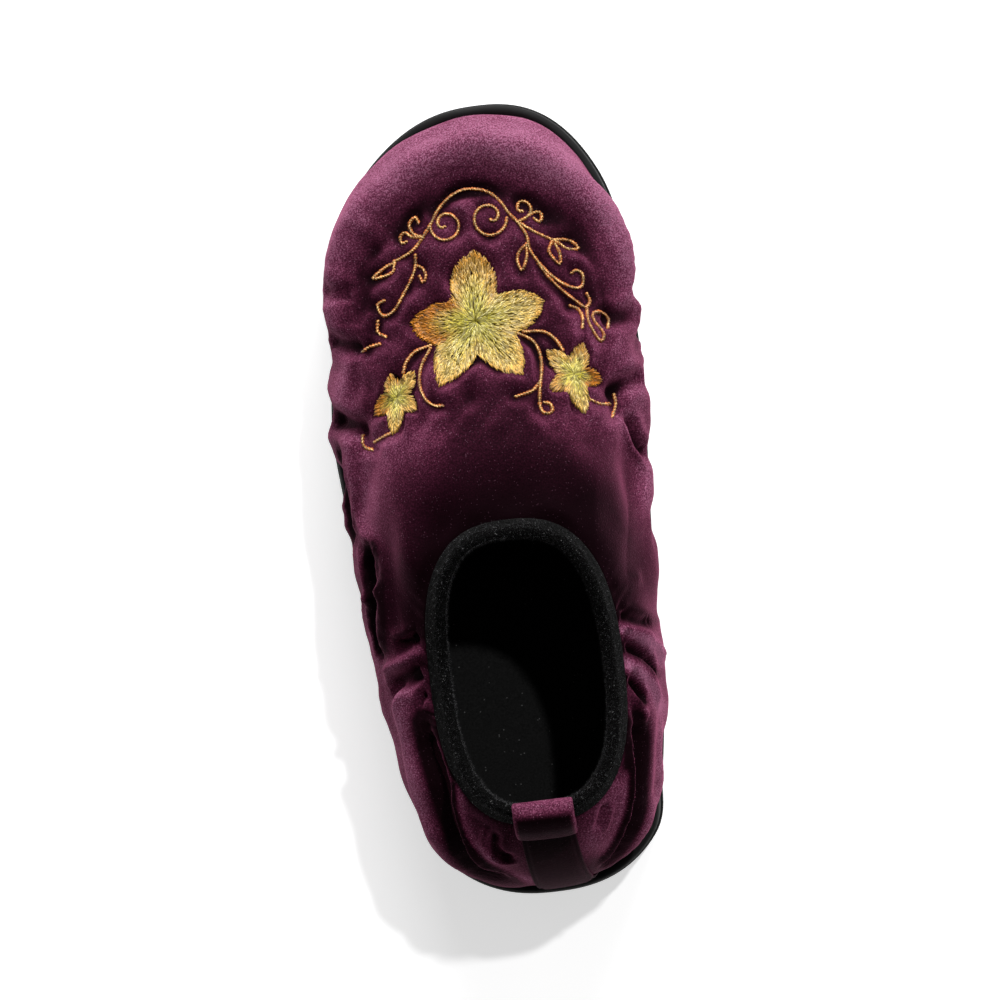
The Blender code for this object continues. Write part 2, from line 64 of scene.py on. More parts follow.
SoleSection = namedtuple("SoleSection", "y half_width shift underside deck lip")
SOLE_SECTIONS = (
    SoleSection(-136, 66.5, -1.6, 2.5, 16.5, 26.0),
    SoleSection(-120, 64.5, -2.2, 0.0, 16.0, 25.5),
    SoleSection(-100, 55.0, -2.8, 0.0, 15.5, 25.0),
    SoleSection(-75, 51.3, -3.2, 0.0, 15.2, 24.2),
    SoleSection(-48, 49.2, -4.4, 0.0, 15.0, 23.5),
    SoleSection(-20, 50.9, -5.2, 3.0, 14.5, 22.5),
    SoleSection(10, 53.3, -5.6, 0.0, 13.5, 21.5),
    SoleSection(30, 55.2, -5.2, 0.0, 13.0, 21.0),
    SoleSection(60, 56.0, -3.4, 0.0, 13.0, 21.0),
    SoleSection(85, 60.5, -2.6, 0.8, 13.5, 21.8),
    SoleSection(110, 63.2, -0.4, 4.5, 16.5, 25.0),
    SoleSection(136, 62.0, 3.8, 11.0, 21.0, 30.5),
)

# Side of the sole from the tread, over the lip and down to the footbed: inset from the outline,
# and the height above the line that it is measured from
SideStep = namedtuple("SideStep", "inset base rise")
SIDE_STEPS = (
    SideStep(4.0, "underside", 0.0),
    SideStep(2.2, "underside", 0.7),
    SideStep(1.0, "underside", 2.2),
    SideStep(0.2, "underside", 3.6),
    SideStep(0.0, "underside", 5.0),
    SideStep(0.0, "underside", 9.8),
    SideStep(0.2, "underside", 10.6),
    SideStep(1.0, "underside", 11.1),
    SideStep(1.8, "underside", 11.6),
    SideStep(1.9, "underside", 12.2),
    SideStep(1.8, "underside", 12.8),
    SideStep(1.0, "underside", 13.4),
    SideStep(0.9, "underside", 14.2),
    SideStep(1.2, "lip", -2.0),
    SideStep(1.6, "lip", -0.9),
    SideStep(2.2, "lip", -0.3),
    SideStep(3.2, "lip", 0.0),
    SideStep(4.2, "lip", -0.2),
    SideStep(4.9, "lip", -0.7),
    SideStep(5.2, "lip", -1.6),
    SideStep(5.2, "deck", 0.0),
)
TREAD_GROOVE_WIDTH = 3.0
TREAD_GROOVE_DEPTH = 1.7
TREAD_GROOVE_LENGTH = 160.0
TREAD_GROUPS = ((-112.0, -60.0, 6), (18.0, 58.0, 5))
SOLE_SHARP_ANGLE = 38.0

# Footbed
INSOLE_STEPS = (
    SideStep(10.0, "deck", GAP),
    SideStep(10.0, "deck", 3.6),
    SideStep(10.2, "deck", 4.3),
    SideStep(10.9, "deck", 4.9),
    SideStep(12.5, "deck", 5.0),
    SideStep(17.0, "deck", 4.6),
    SideStep(24.0, "deck", 4.2),
)
INSOLE_COLUMNS = 192
INSOLE_SHARP_ANGLE = 50.0

# Upper: how far it bulges past the sole on each side, how high its widest line is over the lip, the
# height of the roof on the centre line, its drop to the sides, the width of its rounded shoulder, the
# roundness of that shoulder and the thickness of the padded wall
UpperSection = namedtuple(
    "UpperSection", "y outer_bulge inner_bulge belly ridge crown shoulder roundness wall"
)
UPPER_SECTIONS = (
    UpperSection(-136, -5.6, -5.6, 12.0, 92.0, 30.0, 45.0, 1.65, 6.5),
    UpperSection(-122, -2.6, -5.2, 12.2, 92.0, 30.0, 45.0, 1.65, 6.5),
    UpperSection(-100, 0.2, -1.8, 12.5, 92.0, 30.0, 45.0, 1.70, 6.5),
    UpperSection(-60, 0.8, 2.0, 13.0, 92.0, 30.0, 45.0, 1.80, 6.5),
    UpperSection(-25, 0.4, 1.5, 13.0, 91.0, 30.0, 46.0, 1.85, 7.0),
    UpperSection(-7, -0.8, 1.0, 13.0, 85.0, 29.0, 47.0, 1.85, 7.0),
    UpperSection(10, -1.6, 1.0, 13.0, 78.5, 26.0, 48.0, 1.90, 7.0),
    UpperSection(35, -1.2, 1.5, 13.0, 69.0, 20.0, 48.0, 1.95, 7.5),
    UpperSection(60, -1.0, 1.5, 12.5, 61.0, 13.0, 45.0, 2.00, 7.5),
    UpperSection(85, -1.4, 1.0, 11.5, 55.0, 8.0, 40.0, 2.00, 7.5),
    UpperSection(110, -3.0, -4.0, 9.5, 51.0, 4.0, 34.0, 2.10, 7.0),
    UpperSection(136, -6.5, -6.5, 8.0, 49.0, 2.0, 32.0, 2.10, 6.5),
)
FOOT_INSET = 5.6
FOOT_RISE = 0.4
FOOT_WALL = 4.0
ROOF_SPACING = 1.6
REACH_PAST_COLLAR = 1.25
VAMP_START = -50.0
VAMP_FULL = 20.0
VAMP_TURNS_TO_RIM = 0.35
SHELL_COLUMNS = 480
SHELL_ROWS = 113
ROOF_STARTS_AT_ROW = 22
SWELL_STEPS = 14
ROOF_STEPS = 90
LINING_COLUMNS = 128
LINING_THICKNESS = 0.9
LINING_SWELL_STEPS = 4
LINING_ROOF_STEPS = 14

# Collar: plan outline of the upper's top rim, and its height and the lean of its binding along the foot
COLLAR_CENTRE_Y = -56.4
COLLAR_HALF_LENGTH = 50.1
COLLAR_HALF_WIDTH = 32.2
COLLAR_POWER = 2.6

CollarSection = namedtuple("CollarSection", "y height outer_lean inner_lean")
COLLAR_SECTIONS = (
    CollarSection(-106.5, 77.5, 24.0, 24.0),
    CollarSection(-85, 73.0, 30.0, 19.0),
    CollarSection(-55, 70.5, 32.0, 20.0),
    CollarSection(-22, 79.0, 26.0, 19.0),
    CollarSection(-6, 85.0, 18.0, 18.0),
)
BINDING_THICKNESS = 4.6
BINDING_HEIGHT = 9.0
BINDING_COLUMNS = 420
BINDING_ROUND_STEPS = 14
BINDING_SIDE_STEPS = 6
FLEECE_RELIEF = 0.22
FLEECE_FIBRES = 26000
FIBRE_LENGTHS = (0.5, 1.3)
FIBRE_WIDTHS = (0.03, 0.06)
FIBRE_SPREAD = 0.75
FIBRE_ROOT = 0.1
# Share of fibres along the binding's edge, whose lighter tone is a painted highlight
PAINTED_HIGHLIGHT_EDGE_FIBRES = 0.12
EDGE_STEP = 9

# Where each line up the wall starts round the sole and ends round the collar, as shares of the way
# from heel to toe and from the collar's back to its front
WallLine = namedtuple("WallLine", "round_sole round_collar")
WALL_LINES = (
    WallLine(0.00, 0.00),
    WallLine(0.17, 0.20),
    WallLine(0.36, 0.48),
    WallLine(0.52, 0.72),
    WallLine(0.67, 0.84),
    WallLine(1.00, 1.00),
)

# Tucks where the padding is drawn in along the sole seam: side (-1 outer, 1 inner), place along the
# foot, depth, half length along the seam and how far it reaches up the wall
Tuck = namedtuple("Tuck", "side y depth half_length reach")
TUCKS = (
    Tuck(1, 89, 1.8, 4, 20),
    Tuck(1, 66, 2.4, 4, 26),
    Tuck(1, 51, 1.8, 4, 20),
    Tuck(1, 35, 2.2, 4, 24),
    Tuck(1, 12, 1.4, 5, 30),
    Tuck(1, -12, 1.2, 5, 24),
    Tuck(1, -38, 0.8, 6, 20),
    Tuck(-1, 72, 1.6, 4, 20),
    Tuck(-1, 55, 1.6, 4, 20),
    Tuck(-1, 38, 2.4, 5, 26),
    Tuck(-1, 16, 3.6, 7, 28),
    Tuck(-1, -8, 1.0, 5, 26),
    Tuck(-1, -30, 1.2, 6, 24),
    Tuck(-1, -54, 1.8, 6, 24),
)
TUCK_STARTS_OVER_LIP = 2.0
TUCK_FULL_OVER_LIP = 9.0
TUCK_FADES_FROM = 0.4

# Creases and ridges seen from above: depth (below 0 for a ridge), the widths of the slopes on the left
# and right of the route, how high the fabric stands up beside each, and the plan points of the route
Crease = namedtuple("Crease", "name depth left right left_lip right_lip route")
CREASES = (
    Crease("toe quilting hollow", 3.1, 7.0, 5.5, 1.4, 0.3,
           ((-44, 44), (-42, 66), (-39, 82), (-24, 98), (2, 107), (24, 97), (37, 82), (42, 64), (45, 44))),
    Crease("toe roll", -3.0, 9.0, 9.0, 0.0, 0.0,
           ((-47, 58), (-45, 84), (-34, 103), (-16, 115), (3, 118), (21, 114), (37, 102), (47, 84),
            (51, 58))),
    Crease("heel outer crescent", 5.0, 1.8, 6.5, 1.8, 1.0,
           ((-36, -68), (-34, -76), (-32, -84), (-31, -92), (-31, -99), (-30, -107), (-27, -115),
            (-22, -122), (-15, -127))),
    Crease("heel inner crescent", 5.0, 6.0, 1.8, 1.0, 1.8,
           ((33, -74), (33, -82), (32, -90), (31, -97), (29, -107), (25, -115), (20, -122), (13, -128))),
    Crease("outer flank trough", 4.8, 2.8, 2.6, 0.8, 0.6,
           ((-48, -6), (-47, -11), (-48, -19), (-48, -26), (-49, -35), (-49, -42), (-47, -50))),
    Crease("vamp edge ridge", -1.7, 3.2, 2.2, 0.0, 0.0,
           ((-52, 25), (-50, 19), (-50, 12), (-51, 3), (-49, -5), (-45, -10), (-43, -15), (-44, -26),
            (-45, -40), (-46, -48))),
    Crease("flank trough bridge", -1.8, 2.0, 2.0, 0.0, 0.0, ((-52, -28), (-48, -26), (-44, -24))),
    Crease("second flank ridge", -1.0, 1.8, 1.8, 0.0, 0.0,
           ((-50, -5), (-51, -14), (-51, -24), (-52, -32), (-51, -41))),
    Crease("outer tail trough", 3.6, 3.2, 3.2, 0.6, 1.0, ((-58, 36), (-51, 32), (-44, 28))),
    Crease("trough under the vamp edge", 3.8, 2.8, 4.2, 0.4, 0.0,
           ((-56, 26), (-55, 18), (-55, 8), (-55, -2), (-53, -10))),
    Crease("outer waist", 1.3, 7.0, 7.0, 0.0, 0.0,
           ((-57, 10), (-57, -2), (-56, -12), (-56, -22), (-55, -34))),
    Crease("outer petal trough", 2.6, 3.0, 3.0, 0.6, 0.6, ((-55, 63), (-48, 58), (-42, 56))),
    Crease("outer front trough", 2.0, 3.0, 3.0, 0.4, 0.4, ((-55, 80), (-49, 76), (-43, 75))),
    Crease("inner petal trough", 2.8, 3.0, 3.0, 0.6, 0.6, ((50, 36), (44, 34), (38, 31))),
    Crease("inner spray trough", 2.2, 3.0, 3.0, 0.6, 0.6, ((52, 58), (45, 56), (39, 58))),
    Crease("inner tuck end", 3.2, 2.2, 2.8, 1.0, 0.5, ((48, 8), (46, 12), (44, 18), (43, 24))),
    Crease("inner pucker", -0.9, 2.4, 2.4, 0.0, 0.0, ((30, -32), (36, -32), (42, -30))),
    Crease("inner gather hollow 1", 2.2, 2.2, 1.8, 0.2, 0.8, ((31, -41), (36, -44), (43, -47))),
    Crease("inner gather 1", -1.8, 2.6, 2.2, 0.0, 0.0,
           ((31, -45), (35, -47), (39, -50), (43, -55), (45, -61))),
    Crease("inner gather hollow 2", 4.0, 1.8, 1.6, 0.6, 0.8, ((31, -52), (36, -54), (40, -59), (42, -64))),
    Crease("inner gather 2", -1.8, 2.4, 2.2, 0.0, 0.0,
           ((31, -56), (36, -60), (39, -64), (41, -69), (42, -75))),
    Crease("inner gather hollow 3", 3.2, 1.6, 1.6, 0.5, 0.5, ((32, -62), (35, -66), (37, -72))),
    Crease("inner gather 3", -1.2, 1.6, 1.6, 0.0, 0.0, ((32, -69), (36, -73), (37, -78))),
    Crease("inner gather hollow 4", 2.0, 1.6, 1.6, 0.6, 0.4, ((31, -72), (34, -77), (35, -84))),
    Crease("inner heel roll", -1.6, 4.5, 4.5, 0.0, 0.0,
           ((42, -76), (41, -82), (39, -91), (37, -101), (33, -111), (28, -120))),
    Crease("outer gather hollow 1", 4.0, 2.2, 2.2, 0.4, 1.2, ((-33, -41), (-38, -43), (-42, -44))),
    Crease("outer gather 1", -1.8, 2.0, 2.0, 0.0, 0.0, ((-33, -46), (-38, -48), (-49, -52))),
    Crease("outer gather hollow 2", 4.6, 2.6, 3.0, 0.8, 0.8,
           ((-34, -51), (-38, -54), (-44, -56), (-47, -62))),
    Crease("outer heel roll", -1.8, 4.5, 4.5, 0.0, 0.0,
           ((-35, -55), (-41, -59), (-44, -67), (-44, -77), (-43, -87), (-41, -98), (-37, -108),
            (-32, -117))),
    Crease("outer gather hollow 3", 2.0, 1.4, 1.4, 0.5, 0.8, ((-33, -59), (-35, -61), (-37, -64))),
    Crease("strip crescent", 2.2, 2.2, 1.8, 0.4, 1.0, ((-16, -107), (-18, -112), (-14, -117), (-10, -117))),
    Crease("inner collar pucker", 2.0, 1.4, 1.8, 0.8, 0.4, ((21, -102), (19, -107), (16, -112))),
)
TROUGH_POWER = 2.8
RIDGE_POWER = 2.0
CREASE_TAPER = 0.22
ROUTE_SAMPLES = 48
LIP_PLACE = 1.9
LIP_SHARPNESS = 2.0
DEEPEST_CREASE = 5.0
FLAT_BELOW_RIM = 5.0
SMOOTH_HEEL_HALF_WIDTH = 11.0
SMOOTH_HEEL_FADE = 5.0
SMOOTH_HEEL_END = -95.0

# Cloth simulation of the velvet over its wadding
SETTLE_FRAMES = 20
SETTLE_QUALITY = 5
SETTLE_MASS = 0.05
SETTLE_BENDING = 4.0
SETTLE_SLACK = 0.022
SETTLE_PRESSURE = 8.0
SETTLE_LIMIT = 2.5
SETTLE_CALMING_PASSES = 2
SETTLE_HOLD = 0.05
SETTLE_HOLD_IN_CREASES = 0.6
SETTLE_HOLD_IN_DESIGN = 0.3
SETTLE_HOLD_AT_HEEL = 0.95
SETTLE_HOLD_ON_VAMP = 0.8
SETTLE_HEEL = (-46.0, -18.0)
SETTLE_CREASE_DEPTHS = (0.5, 3.0)
SEAM_ROWS_HELD = 4

# Painted light in the velvet's colour: painted highlight on the toe, on slopes and on raised folds, and
# painted shade in creases, in front of the collar, round the heel and a little in the embroidered field
PAINTED_LIGHT_ON_FLATS = 0.14
PAINTED_SHEEN_ON_SLOPES = 0.22
PAINTED_HIGHLIGHT_ON_FOLDS = 0.25
PAINTED_LIGHT_ON_TOE = 0.18
PAINTED_LIGHT_ON_TOE_FRONT = 0.02
PAINTED_SHEEN_SLOPES = (0.03, 0.40)
PAINTED_LIGHT_TOE = (66.0, 112.0)
PAINTED_LIGHT_TOE_FRONT = (0.12, 0.55)
PAINTED_SHADE_CREASE_DEPTHS = (0.4, 3.0)
COLLAR_FRONT_FROM = (-75.0, -42.0)
COLLAR_FRONT_REACH = 60.0
PAINTED_SHADE_HEEL = (-125.0, -50.0)
PAINTED_HIGHLIGHT_FOLD_HEIGHTS = (0.3, 2.5)
PAINTED_SHADE_AT_HEEL = 0.55
DARKER_IN_DESIGN = 0.25
SHADES_FADE_DOWN_THE_WALL = (26.0, 42.0)
CREASE_SHADE_LOW_ON_THE_WALL = 0.3

# Strokes of painted highlight (or painted shade below 0), seen from above: how much, their half width and
# their plan points
Stroke = namedtuple("Stroke", "name gain half_width route")
PAINTED_LIGHT_STROKES = (
    Stroke("toe roll, inner side", 0.16, 8.0, ((24, 112), (38, 100), (47, 84), (50, 66))),
    Stroke("vamp edge", 0.14, 5.0, ((-48, 26), (-46, 16), (-46, 6), (-46, -3))),
    Stroke("vamp, outer side", 0.08, 12.0, ((-42, 4), (-38, 14), (-28, 18))),
    Stroke("puff under the outer flower", 0.14, 5.0, ((-42, 24), (-32, 26), (-20, 24))),
    Stroke("vamp, inner side", -0.08, 9.0, ((34, 14), (36, 2), (36, -10), (36, -22))),
    Stroke("puff under the inner flower", 0.15, 4.5, ((18, 26), (30, 23), (42, 20))),
    Stroke("inner tuck ridge", 0.28, 3.0, ((47, 5), (46, -2), (46, -8))),
    Stroke("under the vamp edge", -0.35, 3.0, ((-56, 24), (-55, 14), (-55, 4), (-54, -6))),
    Stroke("outer flank shade", -0.40, 2.5, ((-47, -9), (-47, -19), (-48, -27), (-48, -36), (-48, -44))),
    Stroke("outer flank roll", 0.18, 2.5, ((-52, -40), (-52, -47), (-50, -53))),
    Stroke("outer wall shade", -0.14, 5.0, ((-57, -12), (-56, -24), (-56, -36), (-54, -46))),
    Stroke("outer heel roll", 0.21, 4.4,
           ((-42, -60), (-45, -68), (-45, -77), (-44, -87), (-42, -97), (-38, -107))),
    Stroke("outer heel shade", -0.55, 4.0,
           ((-36, -70), (-34, -80), (-32, -90), (-31, -99), (-30, -108), (-27, -115), (-22, -122),
            (-15, -127))),
    Stroke("outer heel lip", 0.42, 1.7,
           ((-26, -91), (-27, -99), (-25, -109), (-20, -117), (-13, -124), (-8, -127))),
    Stroke("fold by the collar", 0.25, 1.0, ((-32, -77), (-31, -83), (-29, -89))),
    Stroke("inner heel puff", 0.30, 4.5, ((15, -116), (18, -107), (24, -98))),
    Stroke("inner heel lip", 0.34, 1.4, ((29, -94), (26, -105), (22, -113), (17, -120))),
    Stroke("inner heel shade", -0.60, 3.8,
           ((34, -78), (33, -88), (31, -97), (30, -106), (26, -114), (21, -121), (16, -126))),
    Stroke("inner heel roll", 0.26, 2.6,
           ((43, -78), (41, -88), (39, -98), (36, -107), (31, -116), (25, -122), (19, -127))),
    Stroke("inner gather 1", 0.75, 1.7, ((31, -46), (35, -48), (39, -51), (43, -55), (45, -60))),
    Stroke("inner gather 2", 0.75, 1.6, ((32, -57), (36, -61), (39, -65), (41, -70), (42, -75))),
    Stroke("over the inner gathers", -0.30, 2.4, ((30, -38), (36, -42), (43, -46))),
    Stroke("inner gather hollow 2", -0.50, 1.3, ((32, -53), (36, -55), (40, -60), (42, -64))),
    Stroke("inner gather hollow 3", -0.50, 1.2, ((32, -63), (35, -67), (37, -72))),
    Stroke("inner wall", -0.11, 8.0, ((50, 6), (50, -8), (49, -20), (48, -34))),
    Stroke("outer gather", 0.20, 2.0, ((-34, -45), (-40, -48), (-45, -51))),
)

# Small waves in the fabric: the gathers under the elastic collar, and the puckers over the sole seam
COLLAR_WAVES = 52
COLLAR_WAVE_DEPTH = 0.8
COLLAR_WAVE_REACH = 6.0
COLLAR_WAVES_START = -22.0
COLLAR_WAVES_FULL = -48.0
SEAM_WAVES = 84
SEAM_WAVE_DEPTH = 0.6
SEAM_WAVE_REACH = 13.0
SEAM_WAVES_START = 104.0
SEAM_WAVES_FULL = 74.0
CALM_HEEL = (-96.0, -62.0)
LUMP_SIZE = 22.0
LUMP_HEIGHT = 0.5
CALM_TOE = (70.0, 110.0)
CALM_TOE_SHARE = 0.7
PUCKER_SIZE = 9.0
PUCKER_HEIGHT = 0.36
SOFT_WAVES = 24

# Embroidery, laid out flat in millimetres as seen from the camera, from the large flower's centre
DESIGN_CENTRE = (-3.2, 60.2, 58.0)
DESIGN_TURN = -7.1
DESIGN_MIDDLE = (0.0, 2.0)
DESIGN_HALF_SIZE = (44.0, 46.0)
DESIGN_FADES = (0.8, 1.0)

# Flowers: each petal's tip and the notch after it by angle and radius, how rusty its thread is and how
# far its sides bulge
Petal = namedtuple("Petal", "tip_angle tip_radius notch_angle notch_radius warmth bulge", defaults=(0.13,))
Flower = namedtuple("Flower", "name x y stitches petals")
FLOWERS = (
    Flower("large_flower", 0.0, 0.0, 3600, (
        Petal(17, 23.6, 51, 10.6, 0.10, 0.17),
        Petal(92, 23.4, 140, 10.0, 0.45, 0.20),
        Petal(182, 21.6, 212, 15.0, 0.90, 0.15),
        Petal(241, 24.6, 274, 11.2, 0.10, 0.10),
        Petal(312, 23.4, 343, 13.4, 0.12, 0.12),
    )),
    Flower("outer_flower", -26.0, -25.2, 900, (
        Petal(325, 7.8, 378, 4.8, 0.50),
        Petal(417, 10.4, 442, 5.6, 0.45),
        Petal(466, 8.4, 518, 4.8, 0.70),
        Petal(578, 9.8, 600, 6.4, 0.85),
        Petal(624, 12.7, 655, 5.0, 0.35),
    )),
    Flower("inner_flower", 32.7, -17.6, 1000, (
        Petal(346, 9.8, 390, 5.6, 1.00),
        Petal(434, 10.9, 466, 6.0, 0.55),
        Petal(498, 12.0, 538, 5.6, 0.40),
        Petal(574, 9.6, 610, 5.8, 0.65),
        Petal(647, 13.9, 674, 6.0, 0.25),
    )),
)
PETAL_SIDE_POINTS = 12

# Stems, leaves and curls: how rusty the thread is, and the route or the spiral that it follows
Scroll = namedtuple("Scroll", "name warmth route")
SCROLLS = (
    Scroll("arch", 0.6,
           ((-14.5, 33), (-12.5, 37), (-9, 41), (-5, 43.5), (-1, 44), (4, 43), (8, 40), (11, 36),
            (14, 33))),
    Scroll("inner stem", 0.6,
           ((14, 33), (17, 28.5), (18, 24), (21, 19.5), (25.5, 15), (30, 12), (33.5, 11), (35.5, 12),
            (35.5, 15.5), (33.5, 17), (32, 16))),
    Scroll("inner second stem", 0.8,
           ((21, 19), (24, 15), (28.5, 10.5), (33, 7), (36.5, 4.5), (38, 6.5), (37, 9))),
    Scroll("inner curl", 0.4,
           ((14, 33), (17, 34.5), (18.5, 37), (17, 39.5), (14.5, 39.5), (14, 37), (15.5, 36.5))),
    Scroll("inner small curl", 0.5, ((17, 34.5), (19.5, 36), (21.5, 36), (22, 34), (21, 33), (19.5, 34))),
    Scroll("inner branch", 0.7, ((15, 32.5), (20, 29.5), (25.5, 27))),
    Scroll("inner upper leaf", 0.5,
           ((25.5, 27), (29.5, 27), (32.5, 26), (34, 24), (30.5, 24), (27.5, 26), (25.5, 27))),
    Scroll("inner lower leaf", 0.9, ((25.5, 26.5), (24.5, 23), (28, 19), (28, 22.5), (26.5, 25.5))),
    Scroll("inner stem leaf", 0.7, ((17, 25.5), (14.5, 23), (14, 20), (15.5, 17), (17, 21), (17, 25))),
    Scroll("inner hook", 0.9, ((31.5, 5), (34, 4), (35.5, 1.5), (35.5, -2))),
    Scroll("inner loop", 0.95,
           ((37, 5), (37.5, 0), (40.5, -5.5), (42, -6.5), (42.5, -4), (39.5, 0), (39, 2.5), (41.5, 3),
            (44, 1), (44, -2))),
    Scroll("outer stem", 0.5, ((-14.5, 33), (-17.5, 28), (-20.5, 24), (-24, 21.5), (-27, 20))),
    Scroll("outer leaf", 0.5, ((-27, 19.5), (-30, 18), (-34, 14.5), (-30.5, 15), (-27.5, 16.5), (-27, 19))),
    Scroll("outer curl", 0.4,
           ((-17.5, 28), (-20.5, 29), (-22, 31.5), (-21.5, 33.5), (-20, 34.5), (-19, 33))),
    Scroll("outer small curl", 0.5,
           ((-18, 28), (-21, 28), (-23.5, 29.5), (-25, 28), (-24.5, 26), (-23, 26.5))),
    Scroll("outer lower stem", 0.5,
           ((-20, 22), (-20, 19), (-21, 15), (-23.5, 10), (-26.5, 4.5), (-29.5, 2), (-31.5, 2.5),
            (-32.5, 5.5), (-30.5, 7))),
    Scroll("outer stem leaf", 0.8, ((-19.5, 18.5), (-17.5, 17.5), (-16.5, 15), (-17.5, 13), (-18.5, 15))),
    Scroll("outer hook", 0.6, ((-32.5, 0), (-32.5, -3.5), (-30, -5))),
    Scroll("outer low hook", 0.6, ((-32, -7.5), (-35.5, -8.5), (-37.5, -10))),
    Scroll("outer spray", 0.5, ((-15, -8), (-20, -10), (-23, -13.5), (-24, -17))),
    Scroll("outer long spray", 0.6,
           ((-15, -9), (-18, -15), (-18.5, -21), (-16.5, -26), (-13.5, -28), (-11, -28))),
    Scroll("inner spray", 0.5, ((16, -3.5), (22.5, -3.5), (26.5, -6), (29, -9.5))),
    Scroll("inner long spray", 0.5,
           ((14, -4), (19, -6.5), (21.5, -11), (22, -16.5), (21.5, -22), (21.5, -28), (23, -30.5),
            (25.5, -30), (25, -27.5), (23, -27))),
    Scroll("inner short spray", 0.5, ((21.5, -20), (19, -23), (13.5, -25))),
    Scroll("inner tail", 0.8, ((38, -26), (41.5, -27.5), (44.5, -27.5))),
    Scroll("inner tail hook", 0.7, ((46, -24.5), (46.5, -27.5), (45.5, -31.5))),
    Scroll("outer tail", 0.5, ((-28, -37), (-31, -38.5), (-33.5, -40))),
    Scroll("outer tail hook", 0.6, ((-37.5, -38), (-37.5, -40.5), (-36.5, -42), (-34.5, -42.5))),
)
Curl = namedtuple("Curl", "name warmth x y start_radius end_radius start_angle sweep")
CURLS = (
    Curl("outer spiral", 0.4, -10.1, 31.9, 4.9, 0.5, 176, 430),
    Curl("inner spiral", 0.4, 4.8, 34.2, 5.6, 0.6, 0, -420),
)
CURL_POINTS = 26
CURL_TIGHTENS = 3.0
SCROLL_SAMPLES = 60
STITCH_HEIGHT = 0.3
SCROLL_STITCH_LENGTH = 1.15
SCROLL_STITCH_PITCH = 0.82
SCROLL_STITCH_SLANT = 0.28
SCROLL_STITCH_WIDTH = 0.46
SCROLL_UNDER_WIDTH = 1.20
SCROLL_STITCH_LIFT = 0.32
SCROLL_UNDER_LIFT = 0.12
SCROLL_LIFT_SPREAD = 0.12
SCROLL_RUST_SHARE = 0.8
SCROLL_SHADES = (0.35, 1.3)
SCROLL_WIDTH_SPREAD = (0.85, 1.2)
SCROLL_DIP = 2.0
SCROLL_DIP_WIDTH = 2.8
SCROLL_PUFF = 0.25
SCROLL_PUFF_PLACE = 6.0
FLOWER_DIP = 2.5
FLOWER_DIP_FADE = 0.12
DIPS_ABOVE = (34.0, 38.0)

# Layers of a flower's stitches: share of the stitches, lengths, brightness, height over the velvet,
# width, and how much cream is in the thread
StitchLayer = namedtuple("StitchLayer", "share shortest longest darkest lightest lift width cream")
FLOWER_LAYERS = (
    StitchLayer(0.26, 3.0, 6.0, 0.30, 0.62, 0.18, 0.85, 0.0),
    StitchLayer(0.46, 1.6, 3.6, 0.26, 1.15, 0.30, 0.34, 0.10),
    StitchLayer(0.28, 1.0, 2.4, 1.15, 1.50, 0.42, 0.26, 0.9),
)
STITCH_TRIES = 8
EDGE_STITCHES = 0.3
EDGE_STITCH_ENDS = (0.94, 1.03)
INNER_STITCH_ENDS = (0.02, 1.0)
STITCH_HEART = 0.2
STITCH_SLANT_DEGREES = 2.2
STITCH_LIFT_SPREAD = 0.2
STITCH_WIDTH_SPREAD = (0.8, 1.2)
CREAM_FADES = (0.85, 1.0)
CREAM_LOST_AT_EDGE = 0.8

# Where along a petal, as shares of its length, the dyes turn: green ends, rust begins and the gold rim
# begins, and how much of each there is
GREEN_ENDS = (0.15, 0.80)
RUST_BEGINS = (0.35, 0.85)
GOLD_RIM = (0.84, 0.99)
GREEN_SHARE = 0.9
RUST_SHARE = 1.15
GOLD_SHARE = 0.25
GOLD_RIM_SHARE = 0.65

# Colours of the velvet and the threads
# The velvet's colours are painted light: the deep colour for painted shade, wine and rose for painted
# highlight, and painted glints
VELVET_DEEP = (0.004, 0.0007, 0.0017)
VELVET_WINE = (0.36, 0.048, 0.145)
VELVET_PAINTED_HIGHLIGHT = (0.36, 0.130, 0.225)
VELVET_PAINTED_GLINT = (0.34, 0.15, 0.23)
VELVET_SHEEN = 0.26
RIBBON_SHEEN = 0.10
THREAD_GREEN = (0.52, 0.47, 0.035)
THREAD_PALE = (0.90, 0.68, 0.15)
THREAD_GOLD = (0.72, 0.34, 0.02)
THREAD_RUST = (0.60, 0.21, 0.003)
THREAD_CREAM = (1.0, 0.92, 0.55)
SCROLL_RUST = (0.56, 0.14, 0.03)
SCROLL_PEACH = (1.0, 0.68, 0.26)

# Heel strip and pull loop
STRIP_THICKNESS = 1.2
STRIP_HALF_WIDTH_BOTTOM = 10.0
STRIP_HALF_WIDTH_TOP = 8.9
STRIP_BOTTOM_RISE = 2.5
STRIP_TOP = 75.0
STRIP_SLANT = 3.2
STRIP_LIFT = 0.5
STRIP_EDGE = 0.15
STRIP_EDGE_POWER = 6
STRIP_SHARP_ANGLE = 60.0
STRIP_ROWS = 60
STRIP_COLUMNS = 40
# The strip gets no painted light, so it takes the velvet's near-black painted-shade colour
STRIP_PAINTED_LIGHT = 0.0
STRIP_SEAM_PLACE = 0.86
STRIP_SEAM_WIDTH = 0.05
STRIP_SEAM_DEPTH = 0.4
HEEL_TURNS = 0.04
HEEL_LINES = 81

LOOP_WIDTH = 19.8
